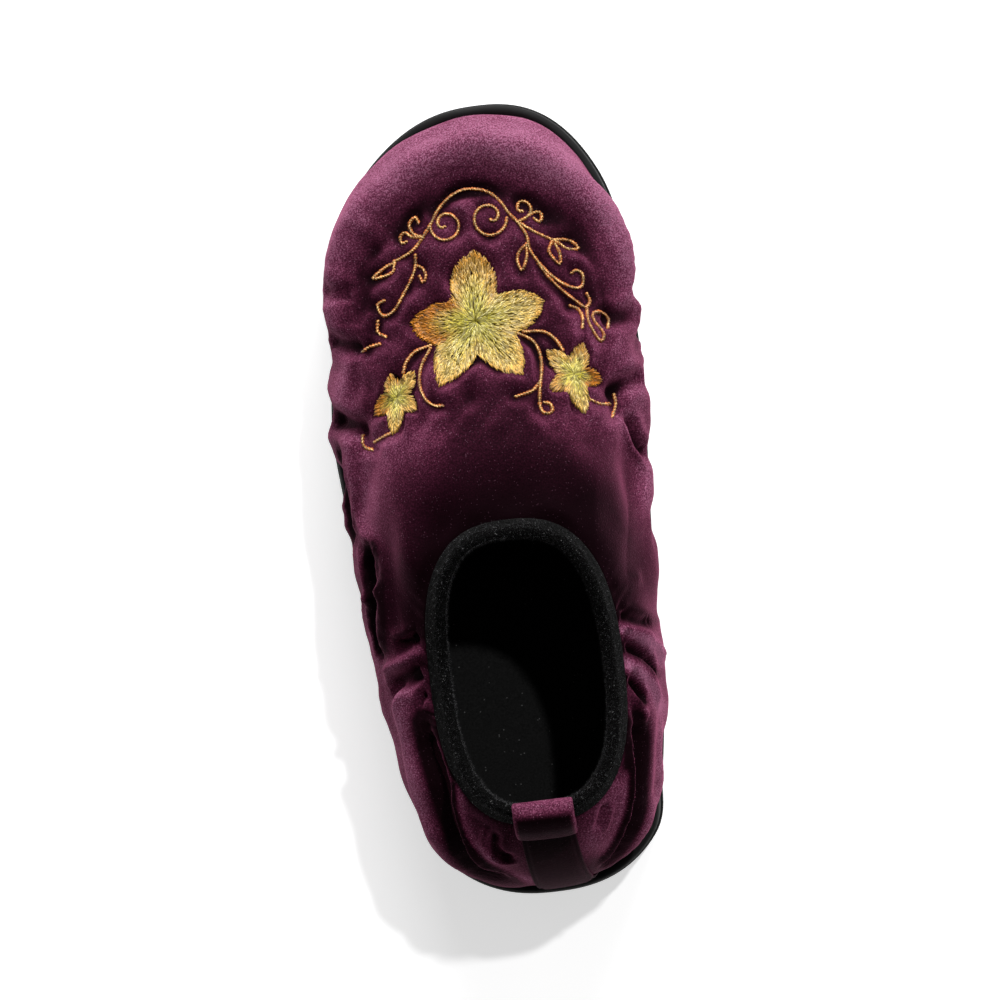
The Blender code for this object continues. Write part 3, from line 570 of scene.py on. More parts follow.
# Painted highlight on the loop's front fold and at its ends
LOOP_PAINTED_HIGHLIGHT = 0.40
LOOP_END_PAINTED_HIGHLIGHT = 0.25
LOOP_FRONT = (-104.0, -100.0)
LOOP_ENDS = (0.85, 1.0)
LOOP_PUFF = 1.1
LOOP_PUFF_BEGINS = (0.45, 0.6)
LOOP_PUFF_ENDS = (0.85, 1.0)
LOOP_THICKNESS = 1.6
LOOP_CENTRE_X = 0.6
LOOP_POINTS = 120
LOOP_EDGE_STEPS = 6
LOOP_ACROSS = 24
LoopPoint = namedtuple("LoopPoint", "y z")
LOOP_ROUTE = (
    LoopPoint(-109.2, 77.9),
    LoopPoint(-107.6, 78.6),
    LoopPoint(-106.4, 81.0),
    LoopPoint(-105.2, 84.2),
    LoopPoint(-103.2, 86.7),
    LoopPoint(-100.0, 87.8),
    LoopPoint(-98.6, 89.4),
    LoopPoint(-99.6, 91.2),
    LoopPoint(-102.8, 91.3),
    LoopPoint(-106.2, 89.0),
    LoopPoint(-108.4, 85.0),
    LoopPoint(-109.6, 80.8),
)

# Camera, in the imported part's frame
CAMERA_PLACE = (63.5, -7.4, 1250.0)
CAMERA_AIM = (0.0, 0.5, 30.0)
CAMERA_ROLL = 7.1
LENS = 129.4
SENSOR = 36.0

# Floor and light
FLOOR_SIZE = 4.0
FLOOR_GLOW = 0.6
SKY_HORIZON = 0.75
SKY_TOP = 0.10
SKY_BEHIND_HEEL = 0.3
SKY_FROM_HEEL_TO_TOE = (-0.8, 0.6)
SKY_DARKENS_BY = 0.75
Lamp = namedtuple("Lamp", "name direction distance size power")
LAMPS = (
    Lamp("key", (0.40, 0.44, 1.0), 1.8, 0.07, 15.0),
    Lamp("toe_softbox", (0.16, 1.0, 0.45), 3.0, 1.8, 114.0),
)

# Points on a finely read curve
FINE = 721


def cubic_curve(xs, ys, tangent):
    """Function through the given points with the given slopes at them."""
    step = np.diff(xs)

    def value(x):
        x = np.clip(x, xs[0], xs[-1])
        i = np.clip(np.searchsorted(xs, x) - 1, 0, len(step) - 1)
        t = (x - xs[i]) / step[i]
        rise = ys[i + 1] - ys[i]
        start = tangent[i] * step[i]
        end = tangent[i + 1] * step[i]
        return ys[i] + t * (start + t * (3 * rise - 2 * start - end + t * (start + end - 2 * rise)))

    return value


def smooth_curve(xs, ys):
    """Smooth function through the given points that never overshoots between them."""
    xs = np.asarray(xs, float)
    ys = np.asarray(ys, float)
    slope = np.diff(ys) / np.diff(xs)
    tangent = np.concatenate((slope[:1], np.zeros(len(slope) - 1), slope[-1:]))
    product = slope[:-1] * slope[1:]
    total = np.where(product > 0, slope[:-1] + slope[1:], 1.0)
    tangent[1:-1] = np.where(product > 0, 2.0 * product / total, 0.0)
    return cubic_curve(xs, ys, tangent)


def round_curve(xs, ys):
    """Function through the given points that swings round them."""
    return cubic_curve(xs, ys, np.gradient(ys, xs))


def column(rows, name, key="y"):
    """One column of a table as a smooth function of its key column."""
    return smooth_curve([getattr(row, key) for row in rows], [getattr(row, name) for row in rows])


half_width = column(SOLE_SECTIONS, "half_width")
shift = column(SOLE_SECTIONS, "shift")
sole_heights = {name: column(SOLE_SECTIONS, name) for name in ("underside", "deck", "lip")}
lip = sole_heights["lip"]
deck = sole_heights["deck"]
upper = {name: column(UPPER_SECTIONS, name) for name in UpperSection._fields[1:]}
collar = {name: column(COLLAR_SECTIONS, name) for name in CollarSection._fields[1:]}
collar_share = column(WALL_LINES, "round_collar", key="round_sole")


def signed_power(value, power):
    return np.sign(value) * np.abs(value) ** power


def smooth_step(low, high, value):
    t = np.clip((value - low) / (high - low), 0.0, 1.0)
    return t * t * (3.0 - 2.0 * t)


def evenly(points, count):
    """The polyline read again at evenly spaced places along its length."""
    length = np.concatenate(([0.0], np.cumsum(np.linalg.norm(np.diff(points, axis=0), axis=1))))
    places = np.linspace(0.0, length[-1], count)
    return np.column_stack([np.interp(places, length, points[:, axis]) for axis in range(points.shape[1])])


def even_turns(count):
    return np.arange(count) / count


def unit(vectors):
    """The vectors at a length of 1."""
    return vectors / np.maximum(np.linalg.norm(vectors, axis=-1, keepdims=True), 1e-9)


def distance_to(line, spots):
    """Distance of each spot from the nearest point of the line."""
    nearest = np.full(len(spots), np.inf)
    for point in line:
        nearest = np.minimum(nearest, np.linalg.norm(spots - point, axis=1))
    return nearest


def sole_half(side):
    """Plan edge of the sole from heel to toe, on the outer side (-1) or the inner side (1)."""
    angle = np.linspace(0.0, math.pi, FINE)
    y = -HALF_LENGTH * signed_power(np.cos(angle), 2.0 / OUTLINE_POWER)
    x = shift(y) + side * half_width(y) * signed_power(np.sin(angle), 2.0 / OUTLINE_POWER)
    return evenly(np.column_stack((x, y)), FINE)


def collar_half(side):
    """Plan edge of the collar from its back to its front."""
    angle = np.linspace(0.0, math.pi, FINE)
    along = -COLLAR_HALF_LENGTH * signed_power(np.cos(angle), 2.0 / COLLAR_POWER)
    across = side * COLLAR_HALF_WIDTH * signed_power(np.sin(angle), 2.0 / COLLAR_POWER)
    return evenly(np.column_stack((across, along + COLLAR_CENTRE_Y)), FINE)


class Ring:
    """Closed plan curve, read by turn: 0 at the heel, 0.5 at the toe, the outer side first."""

    def __init__(self, half):
        outer = half(-1)
        inner = half(1)
        self.points = np.vstack((outer[:-1], inner[:0:-1]))
        along = np.roll(self.points, -1, axis=0) - np.roll(self.points, 1, axis=0)
        self.inward = unit(np.column_stack((along[:, 1], -along[:, 0])))
        self.turns = np.arange(len(self.points)) / len(self.points)

    def read(self, values, turn):
        x = np.interp(turn, self.turns, values[:, 0], period=1.0)
        y = np.interp(turn, self.turns, values[:, 1], period=1.0)
        return np.column_stack((x, y))

    def at(self, turn, inset=0.0):
        """Plan points at the turns, moved inward by the inset."""
        inset = np.broadcast_to(inset, np.shape(turn))
        return self.read(self.points, turn) + self.read(self.inward, turn) * inset[:, None]


sole_ring = Ring(sole_half)
collar_ring = Ring(collar_half)


def packed_offset():
    """Where the tables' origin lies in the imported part, which is centred on its own box."""
    outline = sole_ring.at(even_turns(CAD_SOLE_COLUMNS))
    low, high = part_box("sole")
    middle = 0.5 * (outline.min(axis=0) + outline.max(axis=0))
    return np.array(((low.x + high.x) / 2 / MM - middle[0], (low.y + high.y) / 2 / MM - middle[1], 0.0))


OFFSET = packed_offset()


def place(points):
    """Points of the tables' frame, in millimetres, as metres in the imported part's frame."""
    return (np.asarray(points, float) + OFFSET) * MM


def collar_turn(turn):
    """Turn on the collar of the wall line that starts at this turn on the sole."""
    share = np.where(turn <= 0.5, 2.0 * turn, 2.0 - 2.0 * turn)
    ended = collar_share(share) / 2.0
    return np.where(turn <= 0.5, ended, 1.0 - ended)


def by_side(turn, outer_values, inner_values):
    return np.where(turn <= 0.5, outer_values, inner_values)


def collar_frame(turn):
    """Rim points of the collar, with the unit directions across the binding and up it."""
    plan = collar_ring.at(turn)
    height = collar["height"](plan[:, 1])
    outer_lean = collar["outer_lean"](plan[:, 1])
    inner_lean = collar["inner_lean"](plan[:, 1])
    lean = np.radians(by_side(turn, outer_lean, inner_lean))
    inward = collar_ring.read(collar_ring.inward, turn)
    across = np.column_stack((inward * np.cos(lean)[:, None], -np.sin(lean)))
    upward = np.column_stack((inward * np.sin(lean)[:, None], np.cos(lean)))
    return np.column_stack((plan, height)), across, upward


def dome(share, power):
    """Rounded rise from 0 at the edge to 1 where the shoulder ends."""
    share = np.clip(share, 0.0, 1.0)
    return (1.0 - (1.0 - share) ** power) ** (1.0 / power)


def wall_lines(turn, foot_inset, foot_rise, depth, rim, swell_steps, roof_steps):
    """Lines up the wall at the turns, from the foot in the cup to the rim, as an array (turn, step, xyz).

    The depth is the distance under the outer face: 0 for the outer face itself.
    """
    edge = sole_ring.at(turn)
    y = edge[:, 1]
    bulge = by_side(turn, upper["outer_bulge"](y), upper["inner_bulge"](y))
    belly = sole_ring.at(turn, depth - bulge)
    belly_z = lip(y) + upper["belly"](y)
    foot = sole_ring.at(turn, foot_inset)
    foot_z = lip(y) + foot_rise
    power = upper["roundness"](y)
    span = np.linalg.norm(rim[:, :2] - belly, axis=1)
    shoulder = np.minimum(upper["shoulder"](y), REACH_PAST_COLLAR * span)
    full = dome(span / shoulder, power)
    vamp = smooth_step(VAMP_START, VAMP_FULL, y)

    rows = [np.column_stack((foot, deck(y) + GAP)), np.column_stack((foot, foot_z))]
    for step in range(1, swell_steps + 1):
        angle = 0.5 * math.pi * step / swell_steps
        plan = foot + (belly - foot) * math.sin(angle)
        rows.append(np.column_stack((plan, foot_z + (belly_z - foot_z) * (1.0 - math.cos(angle)))))
    for step in range(1, roof_steps + 1):
        share = (step / roof_steps) ** ROOF_SPACING
        plan = belly + (rim[:, :2] - belly) * share
        across = (plan[:, 0] - shift(plan[:, 1])) / half_width(plan[:, 1])
        sheet = upper["ridge"](plan[:, 1]) - upper["crown"](plan[:, 1]) * across ** 2 - depth
        blend = np.maximum(1.0 - vamp, smooth_step(VAMP_TURNS_TO_RIM, 1.0, share))
        top = sheet + (rim[:, 2] - sheet) * blend
        rise = dome(span * share / shoulder, power) / full
        rows.append(np.column_stack((plan, belly_z + (top - belly_z) * rise)))
    return np.stack(rows, axis=1)


def surface_normals(grid):
    """Outward unit normals of a grid that closes round its first axis."""
    around = np.roll(grid, -1, axis=0) - np.roll(grid, 1, axis=0)
    return unit(np.cross(np.gradient(grid, axis=1), around))


def outer_face(turn, rows):
    """Outer face of the wall before any fold, with its rows evenly spaced from the seam to the rim."""
    rim, _, _ = collar_frame(collar_turn(turn))
    lines = wall_lines(turn, FOOT_INSET, FOOT_RISE, 0.0, rim, SWELL_STEPS, ROOF_STEPS)
    even = [np.vstack((line[:1], evenly(line[1:], rows - 1))) for line in lines]
    return np.stack(even)


def inner_face(turn, lift):
    """Inner face of the wall, smooth under the folds, or a face that lies above it by the lift."""
    edge_y = sole_ring.at(turn)[:, 1]
    rim, across, _ = collar_frame(collar_turn(turn))
    depth = upper["wall"](edge_y) - lift
    inner_rim = rim + across * (BINDING_THICKNESS - lift)
    foot = FOOT_INSET + FOOT_WALL - lift
    return wall_lines(turn, foot, 0.0, depth, inner_rim, LINING_SWELL_STEPS, LINING_ROOF_STEPS)


def smooth_route(points, count, closed=False, curve=smooth_curve):
    """Curve through the given points, read at evenly spaced places."""
    points = np.asarray(points, float)
    if closed:
        points = np.vstack((points[-2:], points, points[:3]))
    knots = np.arange(len(points))
    places = np.linspace(0, len(points) - 1, FINE)
    if closed:
        places = np.linspace(2, len(points) - 3, FINE)
    line = np.column_stack([curve(knots, values)(places) for values in points.T])
    return evenly(line, count + 1)[:-1] if closed else evenly(line, count)


def tuck_heights(grid):
    """How far the tucks over the sole seam draw the wall in."""
    edge = grid[:, 0]
    over_lip = grid[..., 2] - lip(edge[:, 1])[:, None]
    height = np.zeros(grid.shape[:2])
    for tuck in TUCKS:
        near = np.exp(-((edge[:, 1] - tuck.y) / tuck.half_length) ** 2) * (edge[:, 0] * tuck.side > 0)
        begins = smooth_step(TUCK_STARTS_OVER_LIP, TUCK_FULL_OVER_LIP, over_lip)
        ends = smooth_step(TUCK_FADES_FROM * tuck.reach, tuck.reach, over_lip)
        height -= tuck.depth * near[:, None] * begins * (1.0 - ends)
    return height


def crease_heights(grid):
    """How far the listed creases and ridges move the wall in or out."""
    points = grid.reshape(-1, 3)
    roof = grid[:, ROOF_STARTS_AT_ROW:].reshape(-1, 3)
    share_along = np.linspace(0.0, 1.0, ROUTE_SAMPLES)
    taper = smooth_step(0.0, CREASE_TAPER, share_along) * smooth_step(0.0, CREASE_TAPER, 1.0 - share_along)
    height = np.zeros(len(points))
    for crease in CREASES:
        plan = smooth_route(crease.route, ROUTE_SAMPLES)
        nearest = np.argmin(np.linalg.norm(roof[None, :, :2] - plan[:, None], axis=2), axis=1)
        route = np.column_stack((plan, roof[nearest, 2]))
        along = np.gradient(plan, axis=0)
        reach = (crease.left + crease.right) * (1.0 + LIP_PLACE)
        inside = (points > route.min(axis=0) - reach) & (points < route.max(axis=0) + reach)
        close = np.flatnonzero(inside.all(axis=1))
        apart = points[close, None] - route
        distance = np.linalg.norm(apart, axis=2)
        pick = np.argmin(distance, axis=1)
        rows = np.arange(len(close))
        offset = apart[rows, pick]
        side = along[pick, 0] * offset[:, 1] - along[pick, 1] * offset[:, 0]
        width = np.where(side > 0, crease.left, crease.right)
        beside = np.where(side > 0, crease.left_lip, crease.right_lip)
        share = distance[rows, pick] / width
        power = TROUGH_POWER if crease.depth > 0 else RIDGE_POWER
        trough = crease.depth * np.exp(-share ** power)
        height[close] += taper[pick] * (beside * np.exp(-LIP_SHARPNESS * (share - LIP_PLACE) ** 2) - trough)
    return np.maximum(height, -DEEPEST_CREASE).reshape(grid.shape[:2])


def uneven_wave(turn, count):
    """Wave round the slipper whose spacing and height wander, between -1 and 1."""
    wander = np.zeros_like(turn)
    swing = np.zeros_like(turn)
    for k in range(2, 9):
        wander += chance.normal() / k * np.sin(2 * math.pi * (k * turn + chance.random()))
        swing += chance.normal() * np.sin(2 * math.pi * (2 * k * turn + chance.random()))
    height = 0.65 + 0.35 * np.tanh(swing)
    return height * np.sin(2 * math.pi * count * turn + 5.0 * wander)


def wave_heights(grid, turn):
    """Small gathers under the collar's sides and back, and puckers over the sole seam."""
    edge = grid[:, 0]
    rim = grid[:, -1]
    from_rim = np.linalg.norm(grid - rim[:, None], axis=2)
    over_lip = grid[..., 2] - lip(edge[:, 1])[:, None]
    gathered = 1.0 - smooth_step(COLLAR_WAVES_FULL, COLLAR_WAVES_START, rim[:, 1])
    gathered *= smooth_step(*CALM_HEEL, rim[:, 1])
    puckered = 1.0 - smooth_step(SEAM_WAVES_FULL, SEAM_WAVES_START, edge[:, 1])
    puckered *= smooth_step(*CALM_HEEL, edge[:, 1])
    gathers = COLLAR_WAVE_DEPTH * gathered * uneven_wave(collar_turn(turn), COLLAR_WAVES)
    puckers = SEAM_WAVE_DEPTH * puckered * uneven_wave(turn, SEAM_WAVES)
    top = gathers[:, None] * np.exp(-(from_rim / COLLAR_WAVE_REACH) ** 2)
    foot = puckers[:, None] * smooth_step(0.0, 3.0, over_lip) * np.exp(-(over_lip / SEAM_WAVE_REACH) ** 2)
    return top + foot


def soft_waves(grid, size):
    """Soft waves of about this size through the space of the upper, mostly between -2 and 2."""
    height = np.zeros(grid.shape[:2])
    for _ in range(SOFT_WAVES):
        direction = chance.normal(size=3)
        direction *= 2 * math.pi / size / np.linalg.norm(direction)
        height += np.sin(grid @ direction + 2 * math.pi * chance.random())
    return math.sqrt(2.0 / SOFT_WAVES) * height


def lump_heights(grid):
    """Uneven wadding, calmer on the toe."""
    toe = smooth_step(*CALM_TOE, grid[..., 1])
    return LUMP_HEIGHT * soft_waves(grid, LUMP_SIZE) * (1.0 - CALM_TOE_SHARE * toe)


def up_the_strip(z):
    """Share of the way up the heel strip at this height."""
    bottom = lip(-HALF_LENGTH) + STRIP_BOTTOM_RISE
    return np.clip((z - bottom) / (STRIP_TOP - bottom), 0.0, 1.0)


def strip_middle(z):
    """Sideways place of the heel strip's middle at this height."""
    return LOOP_CENTRE_X + STRIP_SLANT * (1.0 - up_the_strip(z))


def keep_smooth(grid):
    """1 where folds are free, falling to 0 under the heel strip and at the collar's rim."""
    across = np.abs(grid[..., 0] - strip_middle(grid[..., 2])) - SMOOTH_HEEL_HALF_WIDTH
    heel = (1.0 - smooth_step(0.0, SMOOTH_HEEL_FADE, across)) * (grid[..., 1] < SMOOTH_HEEL_END)
    from_rim = np.linalg.norm(grid - grid[:, -1:], axis=2)
    return (1.0 - heel) * smooth_step(0.0, FLAT_BELOW_RIM, from_rim)


def camera_point():
    return np.array(CAMERA_PLACE) - OFFSET


def design_axes():
    """Unit directions to the right and up in the flat embroidery design."""
    turn = math.radians(DESIGN_TURN)
    right = np.array((math.cos(turn), math.sin(turn), 0.0))
    up = np.array((-math.sin(turn), math.cos(turn), 0.0))
    return right, up


def design_rays(points):
    """Unit directions from the camera through points of the flat embroidery design."""
    right, up = design_axes()
    points = np.asarray(points, float)
    spots = np.array(DESIGN_CENTRE) + points[:, :1] * right + points[:, 1:2] * up
    return unit(spots - camera_point())


def design_place(points):
    """Places in the flat design that the camera sees these points of the slipper at."""
    right, up = design_axes()
    eye = camera_point()
    share = (DESIGN_CENTRE[2] - eye[2]) / (points[:, 2:] - eye[2])
    offset = eye + (points - eye) * share - DESIGN_CENTRE
    return np.column_stack((offset @ right, offset @ up))


class Fabric:
    """The upper's outer face as something to sew on."""

    def __init__(self, grid):
        columns, rows, _ = grid.shape
        self.tree = BVHTree.FromPolygons(grid.reshape(-1, 3).tolist(), grid_faces(columns, rows))

    def sewn(self, design_points):
        """Places and normals on the fabric under the points of the design."""
        start = Vector(camera_point())
        places = []
        normals = []
        for ray in design_rays(design_points):
            spot, normal, _, _ = self.tree.ray_cast(start, Vector(ray))
            places.append(spot)
            normals.append(normal if normal.z > 0 else -normal)
        return np.array(places), np.array(normals)


def curl_route(curl):
    """Spiral that keeps its radius at first and then closes in."""
    share = np.linspace(0.0, 1.0, CURL_POINTS)
    radius = curl.end_radius + (curl.start_radius - curl.end_radius) * (1.0 - share ** CURL_TIGHTENS)
    angle = np.radians(curl.start_angle + curl.sweep * share)
    return np.column_stack((curl.x + radius * np.cos(angle), curl.y + radius * np.sin(angle)))


def scroll_routes():
    """Every line of the embroidery as closely spaced design points, with its warmth."""
    routes = []
    for scroll in SCROLLS:
        routes.append((smooth_route(scroll.route, SCROLL_SAMPLES, curve=round_curve), scroll.warmth))
    for curl in CURLS:
        routes.append((smooth_route(curl_route(curl), SCROLL_SAMPLES, curve=round_curve), curl.warmth))
    return routes


def petal_side(tip, notch, bulge):
    """Bulged line from a petal's tip to the notch beside it."""
    share = np.linspace(0.0, 1.0, PETAL_SIDE_POINTS, endpoint=False)[:, None]
    chord = notch - tip
    outward = 0.5 * (tip + notch)
    across = np.array((-chord[1], chord[0]))
    across *= np.sign(across @ outward)
    return tip + chord * share + across * (4.0 * bulge * share * (1.0 - share))


def from_angle(angle, radius):
    angle = np.radians(angle)
    return np.array((radius * np.cos(angle), radius * np.sin(angle)))


def petal_edge(flower):
    """Functions of the angle in degrees: the radius of the flower's outline, and its petals' warmth."""
    sides = []
    warmths = []
    notch = from_angle(flower.petals[-1].notch_angle, flower.petals[-1].notch_radius)
    for petal in flower.petals:
        tip = from_angle(petal.tip_angle, petal.tip_radius)
        sides.append(petal_side(tip, notch, petal.bulge)[::-1])
        notch = from_angle(petal.notch_angle, petal.notch_radius)
        sides.append(petal_side(tip, notch, petal.bulge))
        warmths += [petal.warmth] * (2 * PETAL_SIDE_POINTS)
    outline = np.vstack(sides)
    angles = np.degrees(np.arctan2(outline[:, 1], outline[:, 0]))
    radii = np.linalg.norm(outline, axis=1)

    def radius(angle):
        return np.interp(angle, angles, radii, period=360.0)

    def warmth(angle):
        return np.interp(angle, angles, warmths, period=360.0)

    return radius, warmth


def dip_heights(grid):
    """How far the embroidery's stitches draw the wadding in, and how it puffs up beside the lines."""
    spots = design_place(grid.reshape(-1, 3))
    nearest = distance_to(np.vstack([route for route, _ in scroll_routes()]), spots)
    height = -SCROLL_DIP * np.exp(-(nearest / SCROLL_DIP_WIDTH) ** 2)
    height += SCROLL_PUFF * np.exp(-((nearest - SCROLL_PUFF_PLACE) / SCROLL_DIP_WIDTH) ** 2)
    for flower in FLOWERS:
        offset = spots - (flower.x, flower.y)
        angle = np.degrees(np.arctan2(offset[:, 1], offset[:, 0]))
        radius, _ = petal_edge(flower)
        share = np.linalg.norm(offset, axis=1) / radius(angle)
        inside = 1.0 - smooth_step(1.0 - FLOWER_DIP_FADE, 1.0 + 2.0 * FLOWER_DIP_FADE, share)
        height = np.minimum(height, -FLOWER_DIP * inside)
    on_top = smooth_step(*DIPS_ABOVE, grid[..., 2])
    return height.reshape(grid.shape[:2]) * on_top


def in_design(face):
    """1 in the embroidered field, falling to 0 at its edges."""
    spots = np.abs(design_place(face.reshape(-1, 3)) - DESIGN_MIDDLE) / DESIGN_HALF_SIZE
    return 1.0 - smooth_step(*DESIGN_FADES, spots.max(axis=1)).reshape(face.shape[:2])


def near_collar_front(face):
    """1 at the collar's front, where the vamp is smooth and its velvet gets painted shade, falling to 0
    away.
    """
    front = smooth_step(*COLLAR_FRONT_FROM, face[:, -1:, 1])
    return front * (1.0 - smooth_step(0.0, COLLAR_FRONT_REACH, np.linalg.norm(face - face[:, -1:], axis=2)))


def settle(face, held):
    """Let the velvet settle over its wadding: slack fabric that is held at its seams buckles into folds."""
    columns, rows, _ = face.shape
    mesh = bpy.data.meshes.new("settling_velvet")
    mesh.from_pydata((face.reshape(-1, 3) * MM).tolist(), [], grid_faces(columns, rows))
    piece = new_object("settling_velvet", mesh)
    group = piece.vertex_groups.new(name="held")
    for index, weight in enumerate(held.ravel().tolist()):
        group.add((index,), weight, "REPLACE")
    cloth = piece.modifiers.new("cloth", "CLOTH")
    cloth.collision_settings.use_collision = False
    cloth.point_cache.frame_end = SETTLE_FRAMES
    settings = cloth.settings
    settings.quality = SETTLE_QUALITY
    settings.mass = SETTLE_MASS
    settings.bending_stiffness = SETTLE_BENDING
    settings.vertex_group_mass = "held"
    settings.shrink_min = -SETTLE_SLACK
    settings.use_pressure = True
    settings.uniform_pressure_force = SETTLE_PRESSURE
    settings.effector_weights.gravity = 0.0
    for number in range(1, SETTLE_FRAMES + 1):
        bpy.context.scene.frame_set(number)
    shown = piece.evaluated_get(bpy.context.evaluated_depsgraph_get())
    points = np.empty(len(shown.data.vertices) * 3, np.float32)
    shown.data.vertices.foreach_get("co", points)
    bpy.data.objects.remove(piece, do_unlink=True)
    bpy.context.scene.frame_set(1)
    return points.reshape(face.shape).astype(float) / MM


def between(values, axis, closed):
    """Values twice as close along an axis, with smooth ones put between each pair."""
    values = np.moveaxis(values, axis, 0)
    ends = (values[-1:], values[:2]) if closed else (values[:1], values[-1:])
    wide = np.concatenate((ends[0], values, ends[1]))
    middle = (9.0 * (wide[1:-2] + wide[2:-1]) - wide[:-3] - wide[3:]) / 16.0
    fine = np.empty((len(values) + len(middle), *values.shape[1:]))
    fine[0::2] = values
    fine[1::2] = middle
    return np.moveaxis(fine, 0, axis)


def calmed(values):
    """Values of the cloth's grid with the finest ripples smoothed out."""
    for _ in range(SETTLE_CALMING_PASSES):
        values = 0.5 * values + 0.25 * (np.roll(values, 1, axis=0) + np.roll(values, -1, axis=0))
        inside = 0.5 * values[:, 1:-1] + 0.25 * (values[:, :-2] + values[:, 2:])
        values = np.concatenate((values[:, :1], inside, values[:, -1:]), axis=1)
    return values


def settled_shift(face, height):
    """How the cloth simulation moves the folded face, worked out on every second line and row."""
    held = SETTLE_HOLD + SETTLE_HOLD_IN_CREASES * smooth_step(*SETTLE_CREASE_DEPTHS, -height)
    held = np.maximum(held, SETTLE_HOLD_IN_DESIGN * in_design(face))
    held = np.maximum(held, SETTLE_HOLD_ON_VAMP * near_collar_front(face))
    held = np.maximum(held, SETTLE_HOLD_AT_HEEL * (1.0 - smooth_step(*SETTLE_HEEL, face[..., 1])))
    held = np.maximum(held, 1.0 - keep_smooth(face))
    held[:, :SEAM_ROWS_HELD] = 1.0
    coarse = face[::2, ::2]
    moved = settle(coarse, np.clip(held[::2, ::2], 0.0, 1.0)) - coarse
    length = np.maximum(np.linalg.norm(moved, axis=2), 1e-6)[..., None]
    moved *= SETTLE_LIMIT * np.tanh(length / SETTLE_LIMIT) / length
    return between(between(calmed(moved), 0, True), 1, False)


def folded_face():
    """The upper's outer face with its folds, gathers and stitched hollows, and how far they move it."""
    turn = even_turns(SHELL_COLUMNS)
    smooth = outer_face(turn, SHELL_ROWS)
    normals = surface_normals(smooth)
    free = keep_smooth(smooth)
    height = (tuck_heights(smooth) + crease_heights(smooth) + lump_heights(smooth)) * free
    height[:, :2] = 0.0
    folded = smooth + normals * height[..., None]
    settled = settled_shift(folded, height)
    height += (settled * normals).sum(axis=2)
    folded += settled
    fine = wave_heights(smooth, turn) * (1.0 - (1.0 - free) * (smooth[..., 1] < SMOOTH_HEEL_END))
    puckers = PUCKER_HEIGHT * soft_waves(smooth, PUCKER_SIZE) * in_design(smooth)
    fine += (dip_heights(smooth) + puckers) * free
    fine = np.maximum(fine, -DEEPEST_CREASE - height)
    fine[:, :2] = 0.0
    return folded + normals * fine[..., None], height + fine


def grid_faces(columns, steps, tube=False):
    """Faces of a grid that closes round its columns, and for a tube along its steps too."""
    c, s = np.meshgrid(np.arange(columns), np.arange(steps if tube else steps - 1), indexing="ij")
    beside = (c + 1) % columns
    above = (s + 1) % steps
    corners = (c * steps + s, beside * steps + s, beside * steps + above, c * steps + above)
    return np.stack(corners, axis=2).reshape(-1, 4).tolist()


def capped_faces(columns, steps):
    """Faces of a stack of rings, closed at both ends by strips from the outer to the inner side."""
    faces = grid_faces(columns, steps)
    for end in (0, steps - 1):
        for c in range(columns // 2):
            strip = (c, c + 1, columns - c - 1, (columns - c) % columns)
            corners = list(dict.fromkeys(strip))
            faces.append(tuple(corner * steps + end for corner in corners))
    return faces


def new_object(name, data):
    linked = bpy.data.objects.new(name, data)
    bpy.context.scene.collection.objects.link(linked)
    return linked


def new_piece(name, points, faces, material):
    """Smooth mesh piece of the slipper from points in millimetres, with its faces turned outward."""
    mesh = bpy.data.meshes.new(name)
    mesh.from_pydata(place(points).reshape(-1, 3).tolist(), [], faces)
    work = bmesh.new()
    work.from_mesh(mesh)
    bmesh.ops.recalc_face_normals(work, faces=work.faces)
    work.to_mesh(mesh)
    work.free()
    mesh.materials.append(material)
    mesh.shade_smooth()
    piece = new_object(name, mesh)
    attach(piece, "root")
    return piece


def new_tube(name, grid, material):
    """Piece from a grid that closes in both directions."""
    return new_piece(name, grid, grid_faces(*grid.shape[:2], tube=True), material)


def set_values(piece, name, values, kind="FLOAT"):
    """Named attribute with one value, or one colour, for each point of the piece."""
    attribute = piece.data.attributes.new(name, kind, "POINT")
    member = "color" if kind == "FLOAT_COLOR" else "value"
    attribute.data.foreach_set(member, np.ravel(values).astype(np.float32))


